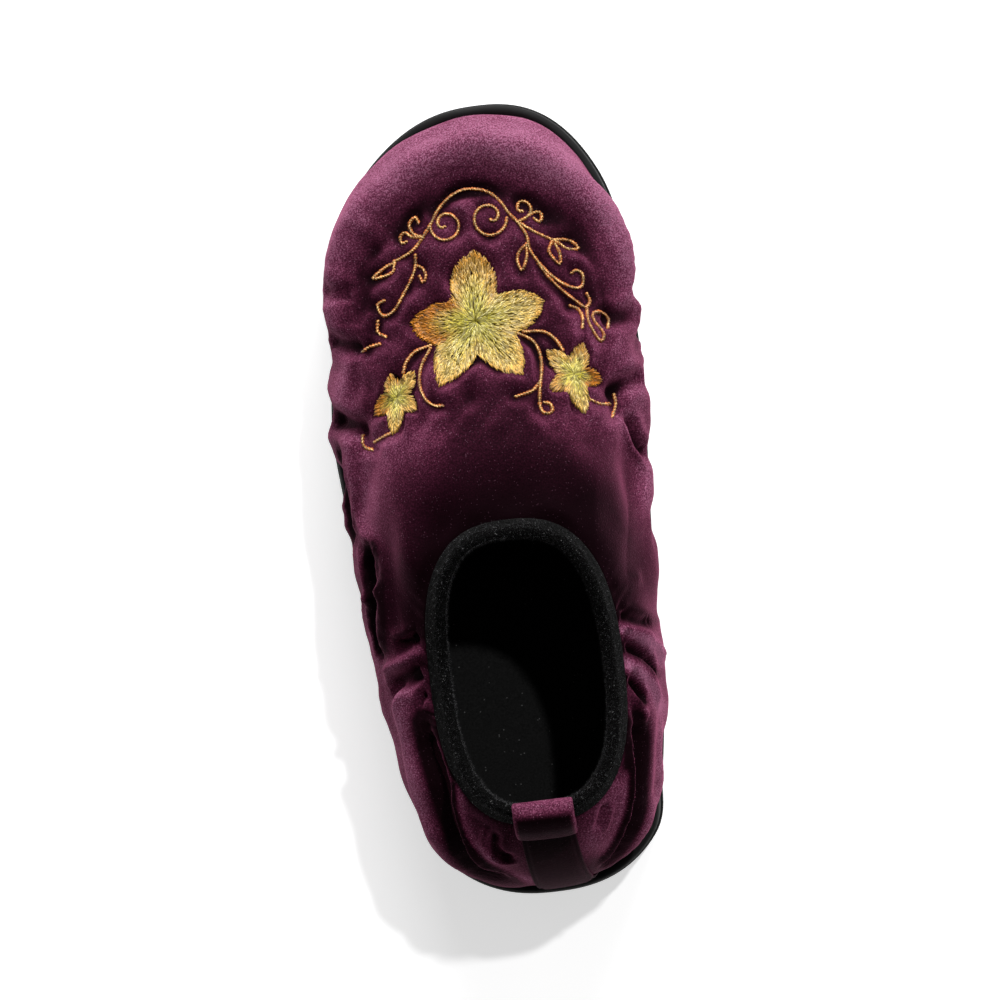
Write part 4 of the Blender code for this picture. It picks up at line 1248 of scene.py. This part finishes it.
class Nodes:
    """Short way to write a Principled material."""

    def __init__(self, name):
        self.material = bpy.data.materials.new(name)
        self.material.use_nodes = True
        self.tree = self.material.node_tree
        self.shader = self.tree.nodes["Principled BSDF"]
        self.place = self.new("ShaderNodeTexCoord").outputs["Object"]

    def new(self, kind, links=None, **settings):
        node = self.tree.nodes.new(kind)
        for key, value in settings.items():
            setattr(node, key, value)
        for key, value in (links or {}).items():
            self.put(node.inputs[key], value)
        return node

    def put(self, socket, value):
        if isinstance(value, bpy.types.NodeSocket):
            self.tree.links.new(value, socket)
        else:
            socket.default_value = value

    def set(self, **values):
        for key, value in values.items():
            self.put(self.shader.inputs[key.replace("_", " ")], value)

    def noise(self, size, detail=2.0, roughness=0.5):
        """Noise whose grains are about this many millimetres across."""
        links = {"Vector": self.place, "Scale": 1.0 / (size * MM), "Detail": detail, "Roughness": roughness}
        return self.new("ShaderNodeTexNoise", links).outputs["Fac"]

    def cells(self, size):
        links = {"Vector": self.place, "Scale": 1.0 / (size * MM)}
        return self.new("ShaderNodeTexVoronoi", links)

    def spread(self, value, low, high, out_low=0.0, out_high=1.0):
        links = {"Value": value, "From Min": low, "From Max": high, "To Min": out_low, "To Max": out_high}
        return self.new("ShaderNodeMapRange", links).outputs["Result"]

    def math(self, operation, a, b):
        return self.new("ShaderNodeMath", {0: a, 1: b}, operation=operation).outputs[0]

    def mix(self, factor, a, b):
        node = self.new("ShaderNodeMix", data_type="RGBA")
        self.put(node.inputs[0], factor)
        self.put(node.inputs[6], a)
        self.put(node.inputs[7], b)
        return node.outputs[2]

    def sparkle(self, size, share):
        """Small separate specks: 1 on this share of the cells, 0 elsewhere."""
        cells = self.cells(size)
        pick = self.new("ShaderNodeSeparateColor", {"Color": cells.outputs["Color"]}).outputs["Red"]
        chosen = self.math("LESS_THAN", pick, share)
        core = self.math("LESS_THAN", cells.outputs["Distance"], 0.42)
        return self.math("MULTIPLY", chosen, core)

    def bump(self, height, strength, distance):
        links = {"Height": height, "Strength": strength, "Distance": distance * MM}
        self.set(Normal=self.new("ShaderNodeBump", links).outputs["Normal"])


def solid(colour):
    return (*colour, 1.0)


def grey(value):
    return (value, value, value, 1.0)


def velvet_material(name, sheen):
    """Velvet whose colour is painted light: near black for painted shade, rosy for painted highlight, with
    painted glints.
    """
    nodes = Nodes(name)
    painted_light = nodes.new("ShaderNodeAttribute", attribute_name="painted_light").outputs["Fac"]
    patches = nodes.spread(nodes.noise(14.0, 3.0), 0.3, 0.7, 0.75, 1.25)
    grain = nodes.noise(0.6, 2.0, 0.7)
    speckle = nodes.spread(nodes.noise(0.5, 1.0), 0.42, 0.70, 0.7, 2.1)
    # The painted light sets the colour from near black through wine to the rosy painted highlight, with
    # random patches and speckle
    painted_amount = nodes.math("MULTIPLY", nodes.math("MULTIPLY", painted_light, patches), speckle)
    tint = nodes.mix(painted_amount, solid(VELVET_WINE), solid(VELVET_PAINTED_HIGHLIGHT))
    pile = nodes.mix(painted_amount, solid(VELVET_DEEP), tint)
    grainy = nodes.mix(nodes.spread(grain, 0.3, 0.7, 0.55, 0.0), pile, solid(VELVET_DEEP))
    # Painted glints: small light specks, fewer where the painted light is low
    painted_glints = nodes.math("MULTIPLY", nodes.sparkle(0.34, 0.03), nodes.spread(painted_light, 0.0, 0.3, 0.12, 1.0))
    colour = nodes.mix(painted_glints, grainy, solid(VELVET_PAINTED_GLINT))
    nodes.set(Base_Color=colour, Roughness=nodes.spread(grain, 0.3, 0.7, 0.8, 0.6))
    nodes.set(Specular_IOR_Level=0.02, Sheen_Weight=sheen, Sheen_Roughness=0.36)
    nodes.set(Sheen_Tint=solid((1.0, 0.23, 0.47)))
    nodes.bump(grain, 0.45, 0.5)
    return nodes.material


def fleece_material():
    nodes = Nodes("black_fleece")
    tuft = nodes.noise(1.1, 4.0, 0.7)
    colour = nodes.mix(nodes.spread(tuft, 0.35, 0.75), grey(0.0008), grey(0.003))
    colour = nodes.mix(nodes.sparkle(0.4, 0.02), colour, grey(0.16))
    nodes.set(Base_Color=colour, Roughness=nodes.spread(tuft, 0.3, 0.7, 1.0, 0.8), Specular_IOR_Level=0.06)
    nodes.set(Sheen_Weight=0.02, Sheen_Roughness=0.3, Sheen_Tint=solid((0.7, 0.7, 0.72)))
    nodes.bump(tuft, 0.9, 0.8)
    return nodes.material


def fibre_material():
    nodes = Nodes("fleece_fibres")
    # Fibre tone from the attribute: random, with a painted highlight along the binding's edge
    tone = nodes.new("ShaderNodeAttribute", attribute_name="shade").outputs["Fac"]
    colour = nodes.mix(tone, grey(0.002), solid((0.20, 0.20, 0.21)))
    grain = nodes.noise(0.3)
    nodes.set(Base_Color=colour, Roughness=nodes.spread(grain, 0.3, 0.7, 0.75, 0.6), Specular_IOR_Level=0.3)
    return nodes.material


def felt_material():
    nodes = Nodes("black_felt")
    fuzz = nodes.noise(0.7, 4.0, 0.75)
    patch = nodes.noise(9.0, 3.0)
    colour = nodes.mix(nodes.spread(fuzz, 0.35, 0.75), grey(0.005), grey(0.018))
    colour = nodes.mix(nodes.spread(patch, 0.4, 0.7, 0.0, 0.5), colour, grey(0.010))
    colour = nodes.mix(nodes.sparkle(0.6, 0.008), colour, grey(0.10))
    nodes.set(Base_Color=colour, Roughness=nodes.spread(fuzz, 0.3, 0.7, 1.0, 0.85), Specular_IOR_Level=0.1)
    nodes.bump(fuzz, 0.8, 0.5)
    return nodes.material


def lining_material():
    nodes = Nodes("black_lining")
    pile = nodes.noise(1.4, 4.0, 0.7)
    colour = nodes.mix(nodes.spread(pile, 0.35, 0.7), grey(0.003), grey(0.010))
    nodes.set(Base_Color=colour, Roughness=nodes.spread(pile, 0.3, 0.7, 1.0, 0.9), Specular_IOR_Level=0.08)
    nodes.bump(pile, 0.8, 0.8)
    return nodes.material


def rubber_material():
    nodes = Nodes("black_rubber")
    mould = nodes.noise(0.5, 3.0, 0.6)
    dust = nodes.noise(16.0, 5.0, 0.6)
    colour = nodes.mix(nodes.spread(dust, 0.45, 0.8), solid((0.005, 0.005, 0.0051)), grey(0.010))
    nodes.set(Base_Color=colour, Roughness=nodes.spread(dust, 0.3, 0.8, 0.6, 0.75), Specular_IOR_Level=0.15)
    nodes.bump(mould, 0.25, 0.15)
    return nodes.material


def thread_material():
    nodes = Nodes("gold_thread")
    dye = nodes.new("ShaderNodeAttribute", attribute_name="dye").outputs["Color"]
    twist = nodes.noise(0.25, 2.0)
    colour = nodes.mix(nodes.spread(twist, 0.35, 0.75, 0.0, 0.45), dye, solid((0.10, 0.055, 0.010)))
    nodes.set(Base_Color=colour, Roughness=nodes.spread(twist, 0.3, 0.7, 0.28, 0.44))
    nodes.set(Specular_IOR_Level=0.55)
    nodes.set(Sheen_Weight=0.05, Sheen_Roughness=0.4, Sheen_Tint=solid((1.0, 0.8, 0.4)))
    nodes.bump(twist, 0.4, 0.15)
    return nodes.material


def floor_material():
    nodes = Nodes("pale_floor")
    tone = nodes.noise(60.0, 2.0)
    colour = nodes.mix(nodes.spread(tone, 0.3, 0.7), grey(0.79), grey(0.82))
    nodes.set(Base_Color=colour, Roughness=0.9, Specular_IOR_Level=0.1)
    nodes.set(Emission_Color=grey(1.0), Emission_Strength=FLOOR_GLOW)
    return nodes.material


def stroked_painted_light(face):
    """Painted highlight that the listed strokes add, and painted shade that they take away."""
    plan = face[..., :2].reshape(-1, 2)
    change = np.zeros(len(plan))
    for stroke in PAINTED_LIGHT_STROKES:
        nearest = distance_to(smooth_route(stroke.route, ROUTE_SAMPLES), plan)
        change += stroke.gain * np.exp(-(nearest / stroke.half_width) ** 2)
    return change.reshape(face.shape[:2])


def painted_light_of_upper(face, height):
    """Painted light of the upper's velvet, from 0 for painted shade to about 1 for painted highlight."""
    normals = surface_normals(face)
    toe = smooth_step(*PAINTED_LIGHT_TOE, face[..., 1])
    # Painted sheen on slopes, and painted highlight on raised folds and on the toe, most where its front
    # faces the toe lamp
    painted_light = PAINTED_LIGHT_ON_FLATS + PAINTED_SHEEN_ON_SLOPES * smooth_step(*PAINTED_SHEEN_SLOPES, 1.0 - normals[..., 2])
    painted_light += PAINTED_HIGHLIGHT_ON_FOLDS * smooth_step(*PAINTED_HIGHLIGHT_FOLD_HEIGHTS, height)
    painted_light += toe * (PAINTED_LIGHT_ON_TOE + PAINTED_LIGHT_ON_TOE_FRONT * smooth_step(*PAINTED_LIGHT_TOE_FRONT, normals[..., 1]))
    # Painted shade in creases (weaker low on the wall), at the collar's front and round the heel; the
    # embroidered field is a little darker
    shaded = smooth_step(*SHADES_FADE_DOWN_THE_WALL, face[..., 2])
    crease_shade = smooth_step(*PAINTED_SHADE_CREASE_DEPTHS, -height)
    crease_shade *= CREASE_SHADE_LOW_ON_THE_WALL + (1.0 - CREASE_SHADE_LOW_ON_THE_WALL) * shaded
    heel = PAINTED_SHADE_AT_HEEL * (1.0 - smooth_step(*PAINTED_SHADE_HEEL, face[..., 1]))
    painted_light *= (1.0 - near_collar_front(face)) * (1.0 - crease_shade) * (1.0 - heel)
    painted_light *= 1.0 - DARKER_IN_DESIGN * in_design(face)
    return np.maximum(painted_light + stroked_painted_light(face) * shaded, 0.0)


def build_upper(face, height, velvet):
    """Velvet shell from the folded outer face to just outside the lining."""
    turn = even_turns(SHELL_COLUMNS)
    inside = inner_face(turn, LINING_THICKNESS + GAP)
    section = np.concatenate((face, inside[:, ::-1]), axis=1)
    shell = new_tube("velvet_shell", section, velvet)
    # Painted light on the outer face; the inner rows get none
    painted_light = np.zeros(section.shape[:2])
    painted_light[:, :SHELL_ROWS] = painted_light_of_upper(face, height)
    set_values(shell, "painted_light", painted_light)
    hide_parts("upper")


def build_lining():
    turn = even_turns(LINING_COLUMNS)
    section = np.concatenate((inner_face(turn, LINING_THICKNESS), inner_face(turn, 0.0)[:, ::-1]), axis=1)
    new_tube("fleece_lining", section, lining_material())


def binding_grid():
    """Rounded band on the upper's rim, with the uneven face of fleece, and its outward normals."""
    turn = even_turns(BINDING_COLUMNS)
    rim, across, upward = collar_frame(turn)
    radius = 0.5 * BINDING_THICKNESS
    side = np.linspace(GAP, BINDING_HEIGHT - radius, BINDING_SIDE_STEPS, endpoint=False)
    profile = [(0.0, rise) for rise in side]
    for angle in np.linspace(0.0, math.pi, BINDING_ROUND_STEPS + 1):
        height = BINDING_HEIGHT - radius * (1.0 - math.sin(angle))
        profile.append((radius * (1.0 - math.cos(angle)), height))
    profile += [(BINDING_THICKNESS, rise) for rise in side[::-1]]
    grid = np.stack([rim + across * a + upward * b for a, b in profile], axis=1)
    normals = surface_normals(grid)
    relief = FLEECE_RELIEF * chance.normal(size=grid.shape[:2])
    relief = 0.5 * relief + 0.25 * (np.roll(relief, 1, axis=0) + np.roll(relief, -1, axis=0))
    relief[:, 0] = 0.0
    relief[:, -1] = 0.0
    return grid + normals * relief[..., None], normals


def spikes(roots, directions, lengths, widths):
    """Points and faces of thin three-sided spikes, one for each root."""
    count = len(roots)
    helper = np.where(np.abs(directions[:, 2:3]) < 0.9, (0.0, 0.0, 1.0), (1.0, 0.0, 0.0))
    across = unit(np.cross(directions, helper))
    other = np.cross(directions, across)
    corners = []
    for angle in (0.0, 2 * math.pi / 3, 4 * math.pi / 3):
        corners.append(roots + (across * math.cos(angle) + other * math.sin(angle)) * widths[:, None])
    points = np.stack((*corners, roots + directions * lengths[:, None]), axis=1).reshape(-1, 3)
    pattern = np.array(((0, 2, 1), (0, 1, 3), (1, 2, 3), (2, 0, 3)))
    faces = (np.arange(count)[:, None, None] * 4 + pattern).reshape(-1, 3)
    return points, faces.tolist()


def build_binding():
    """Fleece band, with fibres that stand out of it all round and closer along its outer edge, where
    lighter fibres paint a highlight.
    """
    grid, normals = binding_grid()
    band = new_tube("collar_binding_fleece", grid, fleece_material())
    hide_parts("collar_binding")

    columns, steps, _ = grid.shape
    c = chance.integers(0, columns, FLEECE_FIBRES)
    s = chance.integers(1, steps - 1, FLEECE_FIBRES)
    painted_highlight_edge = (chance.random(FLEECE_FIBRES) < PAINTED_HIGHLIGHT_EDGE_FIBRES) & (c < columns // 2)
    s = np.where(painted_highlight_edge, BINDING_SIDE_STEPS + EDGE_STEP, s)
    inside = chance.random((FLEECE_FIBRES, 2, 1))
    corner = grid[c, s]
    around = grid[(c + 1) % columns, s] - corner
    roots = corner + around * inside[:, 0] + (grid[c, s + 1] - corner) * inside[:, 1]
    directions = unit(normals[c, s] + FIBRE_SPREAD * chance.normal(size=(FLEECE_FIBRES, 3)))
    lengths = chance.uniform(*FIBRE_LENGTHS, FLEECE_FIBRES)
    widths = chance.uniform(*FIBRE_WIDTHS, FLEECE_FIBRES)
    points, faces = spikes(roots - directions * FIBRE_ROOT, directions, lengths, widths)
    fibres = new_piece("collar_fibres", points, faces, fibre_material())
    # Fibre tone: random, and lighter along the edge as a painted highlight
    set_values(fibres, "shade", np.repeat(chance.random(FLEECE_FIBRES) ** np.where(painted_highlight_edge, 2.0, 12.0), 4))


def new_stack(name, side_steps, columns, material):
    """Solid inside the sole's outline, built up from the rings of its side."""
    turn = even_turns(columns)
    rings = []
    for step in side_steps:
        plan = sole_ring.at(turn, step.inset)
        rings.append(np.column_stack((plan, sole_heights[step.base](plan[:, 1]) + step.rise)))
    return new_piece(name, np.stack(rings, axis=1), capped_faces(columns, len(side_steps)), material)


def cut_tread(sole):
    """Grooves across the flats of the heel and the forefoot."""
    cutter_mesh = bmesh.new()
    for first, last, count in TREAD_GROUPS:
        for y in np.linspace(first, last, count):
            size = (TREAD_GROOVE_LENGTH * MM, TREAD_GROOVE_WIDTH * MM, 2.0 * TREAD_GROOVE_DEPTH * MM, 1.0)
            at = Matrix.Translation(place((0.0, y, 0.0)))
            bmesh.ops.create_cube(cutter_mesh, size=1.0, matrix=at @ Matrix.Diagonal(size))
    mesh = bpy.data.meshes.new("tread_cutter")
    cutter_mesh.to_mesh(mesh)
    cutter_mesh.free()
    cutter = new_object("tread_cutter", mesh)
    cut = sole.modifiers.new("tread", "BOOLEAN")
    cut.operation = "DIFFERENCE"
    cut.solver = "EXACT"
    cut.object = cutter
    bake_modifiers(sole)
    bpy.data.objects.remove(cutter, do_unlink=True)


def bake_modifiers(piece):
    """Put the result of a piece's modifiers into its mesh."""
    shown = piece.evaluated_get(bpy.context.evaluated_depsgraph_get())
    mesh = bpy.data.meshes.new_from_object(shown)
    piece.modifiers.clear()
    piece.data = mesh


def build_sole():
    sole = new_stack("rubber_sole", SIDE_STEPS, SOLE_COLUMNS, rubber_material())
    cut_tread(sole)
    sole.data.set_sharp_from_angle(angle=math.radians(SOLE_SHARP_ANGLE))
    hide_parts("sole")


def build_insole():
    footbed = new_stack("felt_footbed", INSOLE_STEPS, INSOLE_COLUMNS, felt_material())
    footbed.data.set_sharp_from_angle(angle=math.radians(INSOLE_SHARP_ANGLE))
    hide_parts("insole")


def thread_colours(radius_share, warmth, shade):
    """Thread dyes from green at a flower's heart through pale gold to gold or rust at its petals' tips."""
    count = len(shade)
    green = 1.0 - smooth_step(*GREEN_ENDS, radius_share)
    rust = smooth_step(*RUST_BEGINS, radius_share) * warmth
    colour = np.array(THREAD_PALE) + np.zeros((count, 3))
    gold = GOLD_SHARE * chance.random(count) + GOLD_RIM_SHARE * smooth_step(*GOLD_RIM, radius_share)
    colour += (np.array(THREAD_GOLD) - colour) * gold[:, None]
    colour += (np.array(THREAD_RUST) - colour) * np.clip(RUST_SHARE * rust, 0, 1)[:, None]
    colour += (np.array(THREAD_GREEN) - colour) * (GREEN_SHARE * green)[:, None]
    return colour * shade[:, None]


def new_stitches(name, fabric, starts, ends, lifts, widths, colours, material):
    """Joined threads, each from one design point to another, arched a little over the fabric."""
    count = len(starts)
    shares = (0.0, 0.3, 0.7, 1.0)
    arch = (0.15, 1.0, 1.0, 0.15)
    thick = (0.45, 1.0, 1.0, 0.45)
    rings = []
    tips = [fabric.sewn(starts + (ends - starts) * share) for share in shares]
    along = unit(tips[-1][0] - tips[0][0])
    for (spots, normals), rise, size in zip(tips, arch, thick):
        side = unit(np.cross(normals, along))
        middle = spots + normals * (lifts * rise)[:, None]
        out = side * (0.5 * widths[:, None] * size)
        up = normals * (0.5 * STITCH_HEIGHT * size)
        rings.append(np.stack((middle - out, middle + up, middle + out, middle - up), axis=1))
    pattern = []
    for ring in range(len(shares) - 1):
        for corner in range(4):
            following = (corner + 1) % 4
            base = ring * 4
            pattern.append((base + corner, base + following, base + 4 + following, base + 4 + corner))
    last = 4 * (len(shares) - 1)
    pattern += [(3, 2, 1, 0), (last, last + 1, last + 2, last + 3)]
    per_stitch = 4 * len(shares)
    faces = (np.arange(count)[:, None, None] * per_stitch + np.array(pattern)).reshape(-1, 4)
    piece = new_piece(name, np.stack(rings, axis=1), faces.tolist(), material)
    dye = np.column_stack((np.repeat(colours, per_stitch, axis=0), np.ones(count * per_stitch)))
    set_values(piece, "dye", dye, "FLOAT_COLOR")


def flower_layer(flower, layer):
    """One layer of stitches that run out from the flower's heart: ends, lifts, widths and colours."""
    radius, warmth = petal_edge(flower)
    count = int(flower.stitches * layer.share)
    longest = max(petal.tip_radius for petal in flower.petals)
    angle = chance.uniform(0.0, 360.0, STITCH_TRIES * count)
    angle = angle[chance.random(len(angle)) < (radius(angle) / longest) ** 2][:count]
    count = len(angle)
    edge = radius(angle)
    at_edge = chance.random(count) < EDGE_STITCHES
    edge_ends = chance.uniform(*EDGE_STITCH_ENDS, count)
    inner_ends = np.sqrt(chance.uniform(*INNER_STITCH_ENDS, count))
    outer = edge * np.where(at_edge, edge_ends, inner_ends)
    inner = np.maximum(outer - chance.uniform(layer.shortest, layer.longest, count), STITCH_HEART)
    centre = np.array((flower.x, flower.y))
    starts = centre + from_angle(angle + chance.normal(0.0, STITCH_SLANT_DEGREES, count), inner).T
    ends = centre + from_angle(angle, outer).T
    shade = chance.uniform(layer.darkest, layer.lightest, count)
    warm = warmth(angle)
    middle = 0.5 * (inner + outer) / edge
    colours = thread_colours(middle, warm, shade)
    cream = layer.cream * (1.0 - warm) * chance.random(count)
    cream *= 1.0 - CREAM_LOST_AT_EDGE * smooth_step(*CREAM_FADES, middle)
    colours += (np.array(THREAD_CREAM) - colours) * cream[:, None]
    lifts = layer.lift + STITCH_LIFT_SPREAD * chance.random(count)
    widths = layer.width * chance.uniform(*STITCH_WIDTH_SPREAD, count)
    return starts, ends, lifts, widths, colours


def build_flower(flower, fabric, material):
    """Long and short stitches in layers, the lightest on top."""
    layers = [flower_layer(flower, layer) for layer in FLOWER_LAYERS]
    columns = [np.concatenate(values) for values in zip(*layers)]
    new_stitches(flower.name, fabric, *columns, material)


def build_scrolls(fabric, material):
    """Every stem, curl and leaf as slanted light stitches over wider rust ones along its line."""
    starts = []
    ends = []
    warmths = []
    for route, warmth in scroll_routes():
        length = np.linalg.norm(np.diff(route, axis=0), axis=1).sum()
        spots = evenly(route, max(int(length / SCROLL_STITCH_PITCH), 3))
        along = unit(np.gradient(spots, axis=0))
        across = np.column_stack((-along[:, 1], along[:, 0]))
        half = 0.5 * SCROLL_STITCH_LENGTH
        starts.append(spots - along * half + across * SCROLL_STITCH_SLANT)
        ends.append(spots + along * half - across * SCROLL_STITCH_SLANT)
        warmths.append(np.full(len(spots), warmth))
    starts = np.vstack(starts * 2)
    ends = np.vstack(ends * 2)
    warmth = np.concatenate(warmths * 2)
    count = len(starts)
    light = np.arange(count) >= count // 2
    rust = np.where(light, SCROLL_RUST_SHARE * warmth * chance.random(count), 1.0)[:, None]
    colours = np.array(SCROLL_PEACH) * (1.0 - rust) + np.array(SCROLL_RUST) * rust
    colours *= chance.uniform(*SCROLL_SHADES, count)[:, None]
    lifts = np.where(light, SCROLL_STITCH_LIFT, SCROLL_UNDER_LIFT)
    lifts = lifts + SCROLL_LIFT_SPREAD * chance.random(count)
    widths = np.where(light, SCROLL_STITCH_WIDTH, SCROLL_UNDER_WIDTH)
    widths = widths * chance.uniform(*SCROLL_WIDTH_SPREAD, count)
    new_stitches("scroll_stitches", fabric, starts, ends, lifts, widths, colours, material)


def build_embroidery(fabric):
    thread = thread_material()
    for flower in FLOWERS:
        build_flower(flower, fabric, thread)
    build_scrolls(fabric, thread)


def heel_lines():
    """The smooth outer face at the back, under the strip."""
    turn = np.linspace(-HEEL_TURNS, HEEL_TURNS, HEEL_LINES) % 1.0
    return outer_face(turn, SHELL_ROWS)[:, 1:]


def heel_level(lines, z, x):
    """Points of the outer face at the back, at this height and these sideways places."""
    level_x = np.array([np.interp(z, line[:, 2], line[:, 0]) for line in lines])
    level_y = np.array([np.interp(z, line[:, 2], line[:, 1]) for line in lines])
    order = np.argsort(level_x)
    return np.column_stack((x, np.interp(x, level_x[order], level_y[order]), np.full(len(x), z)))


def build_heel_strip(velvet):
    """Velvet strip over the back seam, laid on the upper's outer face, with rounded edges."""
    lines = heel_lines()
    bottom = lip(-HALF_LENGTH) + STRIP_BOTTOM_RISE
    layers = []
    for z in np.linspace(bottom, STRIP_TOP, STRIP_ROWS):
        half = STRIP_HALF_WIDTH_BOTTOM + (STRIP_HALF_WIDTH_TOP - STRIP_HALF_WIDTH_BOTTOM) * up_the_strip(z)
        layers.append(heel_level(lines, z, strip_middle(z) + np.linspace(-half, half, STRIP_COLUMNS)))
    face = np.array(layers)
    normal = np.cross(np.gradient(face, axis=1), np.gradient(face, axis=0))
    normal[..., 2] = np.maximum(normal[..., 2], 0.0)
    normal = unit(normal)
    across = np.linspace(-1.0, 1.0, STRIP_COLUMNS)
    rounded = np.sqrt(1.0 - np.abs(across) ** STRIP_EDGE_POWER)[None, :, None]
    under = face + normal * STRIP_LIFT
    seam = STRIP_SEAM_DEPTH * np.exp(-((np.abs(across) - STRIP_SEAM_PLACE) / STRIP_SEAM_WIDTH) ** 2)
    thickness = STRIP_EDGE + (STRIP_THICKNESS - STRIP_EDGE) * rounded
    over = face + normal * (STRIP_LIFT + thickness - seam[None, :, None])
    section = np.concatenate((under, over[:, ::-1]), axis=1)
    rows, steps, _ = section.shape
    faces = grid_faces(rows, steps, tube=True)[:(rows - 1) * steps]
    for row in (0, rows - 1):
        for step in range(STRIP_COLUMNS - 1):
            pair = (step, step + 1, steps - step - 2, steps - step - 1)
            faces.append(tuple(row * steps + corner for corner in pair))
    strip = new_piece("velvet_heel_strip", section, faces, velvet)
    strip.data.set_sharp_from_angle(angle=math.radians(STRIP_SHARP_ANGLE))
    # No painted light on the strip: near-black painted shade
    set_values(strip, "painted_light", np.full(len(strip.data.vertices), STRIP_PAINTED_LIGHT))
    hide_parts("heel_strip")


def build_pull_loop(velvet):
    """Ribbon folded into a flat loop that leans over the collar, with rounded edges."""
    route = smooth_route(LOOP_ROUTE, LOOP_POINTS, closed=True)
    along = np.roll(route, -1, axis=0) - np.roll(route, 1, axis=0)
    side = unit(np.column_stack((-along[:, 1], along[:, 0])))
    half = 0.5 * LOOP_THICKNESS
    reach = 0.5 * LOOP_WIDTH - half
    profile = [(x, -half) for x in np.linspace(-reach, reach, LOOP_ACROSS)]
    for angle in np.linspace(-0.5 * math.pi, 0.5 * math.pi, LOOP_EDGE_STEPS + 2)[1:-1]:
        profile.append((reach + half * math.cos(angle), half * math.sin(angle)))
    profile += [(x, half) for x in np.linspace(reach, -reach, LOOP_ACROSS)]
    for angle in np.linspace(0.5 * math.pi, 1.5 * math.pi, LOOP_EDGE_STEPS + 2)[1:-1]:
        profile.append((-reach + half * math.cos(angle), half * math.sin(angle)))
    rings = []
    share = even_turns(LOOP_POINTS)
    on_top = smooth_step(*LOOP_PUFF_BEGINS, share) * (1.0 - smooth_step(*LOOP_PUFF_ENDS, share))
    for x, offset in profile:
        puff = LOOP_PUFF * (1.0 - (2.0 * x / LOOP_WIDTH) ** 4) * on_top * (offset < 0.0)
        plan = route + side * (offset - puff)[:, None]
        rings.append(np.column_stack((np.full(len(plan), LOOP_CENTRE_X + x), plan)))
    grid = np.stack(rings, axis=1)
    loop = new_tube("velvet_pull_loop", grid, velvet)
    to_end = 2.0 * np.abs(grid[..., 0] - LOOP_CENTRE_X) / LOOP_WIDTH
    # Painted highlight on the loop's front fold and at its ends
    painted_light = LOOP_PAINTED_HIGHLIGHT * smooth_step(*LOOP_FRONT, grid[..., 1])
    set_values(loop, "painted_light", np.maximum(painted_light, LOOP_END_PAINTED_HIGHLIGHT * smooth_step(*LOOP_ENDS, to_end)))
    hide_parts("pull_loop")


def build_floor():
    bpy.ops.mesh.primitive_plane_add(size=FLOOR_SIZE, location=(0.0, 0.0, 0.0))
    floor = bpy.context.object
    floor.name = "floor"
    floor.data.materials.append(floor_material())


def new_area_light(lamp):
    """Square lamp that stands in its direction from the slipper and faces it."""
    data = bpy.data.lights.new(lamp.name, "AREA")
    data.size = lamp.size
    data.energy = lamp.power
    light = new_object(lamp.name, data)
    direction = Vector(lamp.direction).normalized()
    light.location = direction * lamp.distance
    light.rotation_euler = direction.to_track_quat("Z", "Y").to_euler()


def world_ramp(tree, value, start, end, low, high):
    ramp = tree.nodes.new("ShaderNodeMapRange")
    ramp.interpolation_type = "SMOOTHSTEP"
    tree.links.new(value, ramp.inputs["Value"])
    for name, setting in (("From Min", start), ("From Max", end), ("To Min", low), ("To Max", high)):
        ramp.inputs[name].default_value = setting
    return ramp.outputs["Result"]


def build_lights():
    """A studio that is bright at the toe and the sides and dark overhead, with a key lamp and a softbox."""
    world = bpy.data.worlds.new("studio")
    world.use_nodes = True
    tree = world.node_tree
    split = tree.nodes.new("ShaderNodeSeparateXYZ")
    tree.links.new(tree.nodes.new("ShaderNodeTexCoord").outputs["Generated"], split.inputs[0])
    by_height = world_ramp(tree, split.outputs["Z"], 0.0, SKY_DARKENS_BY, SKY_HORIZON, SKY_TOP)
    by_end = world_ramp(tree, split.outputs["Y"], *SKY_FROM_HEEL_TO_TOE, SKY_BEHIND_HEEL, 1.0)
    product = tree.nodes.new("ShaderNodeMath")
    product.operation = "MULTIPLY"
    tree.links.new(by_height, product.inputs[0])
    tree.links.new(by_end, product.inputs[1])
    backdrop = tree.nodes["Background"]
    backdrop.inputs["Color"].default_value = grey(1.0)
    tree.links.new(product.outputs[0], backdrop.inputs["Strength"])
    bpy.context.scene.world = world
    for lamp in LAMPS:
        new_area_light(lamp)


def build_camera():
    data = bpy.data.cameras.new("camera")
    data.lens = LENS
    data.sensor_width = SENSOR
    camera = new_object("camera", data)
    stand = Vector(CAMERA_PLACE) * MM
    forward = (Vector(CAMERA_AIM) * MM - stand).normalized()
    roll = math.radians(CAMERA_ROLL)
    right = forward.cross(Vector((math.sin(roll), math.cos(roll), 0.0))).normalized()
    up = right.cross(forward)
    camera.matrix_world = Matrix.Translation(stand) @ Matrix((right, up, -forward)).transposed().to_4x4()
    bpy.context.scene.camera = camera
    bpy.context.scene.view_settings.view_transform = "Standard"


build_camera()
build_floor()
build_lights()
build_sole()
build_insole()
face, height = folded_face()
velvet = velvet_material("plum_velvet", VELVET_SHEEN)
build_upper(face, height, velvet)
build_lining()
build_binding()
build_embroidery(Fabric(face))
ribbon = velvet_material("velvet_ribbon", RIBBON_SHEEN)
build_heel_strip(ribbon)
build_pull_loop(ribbon)
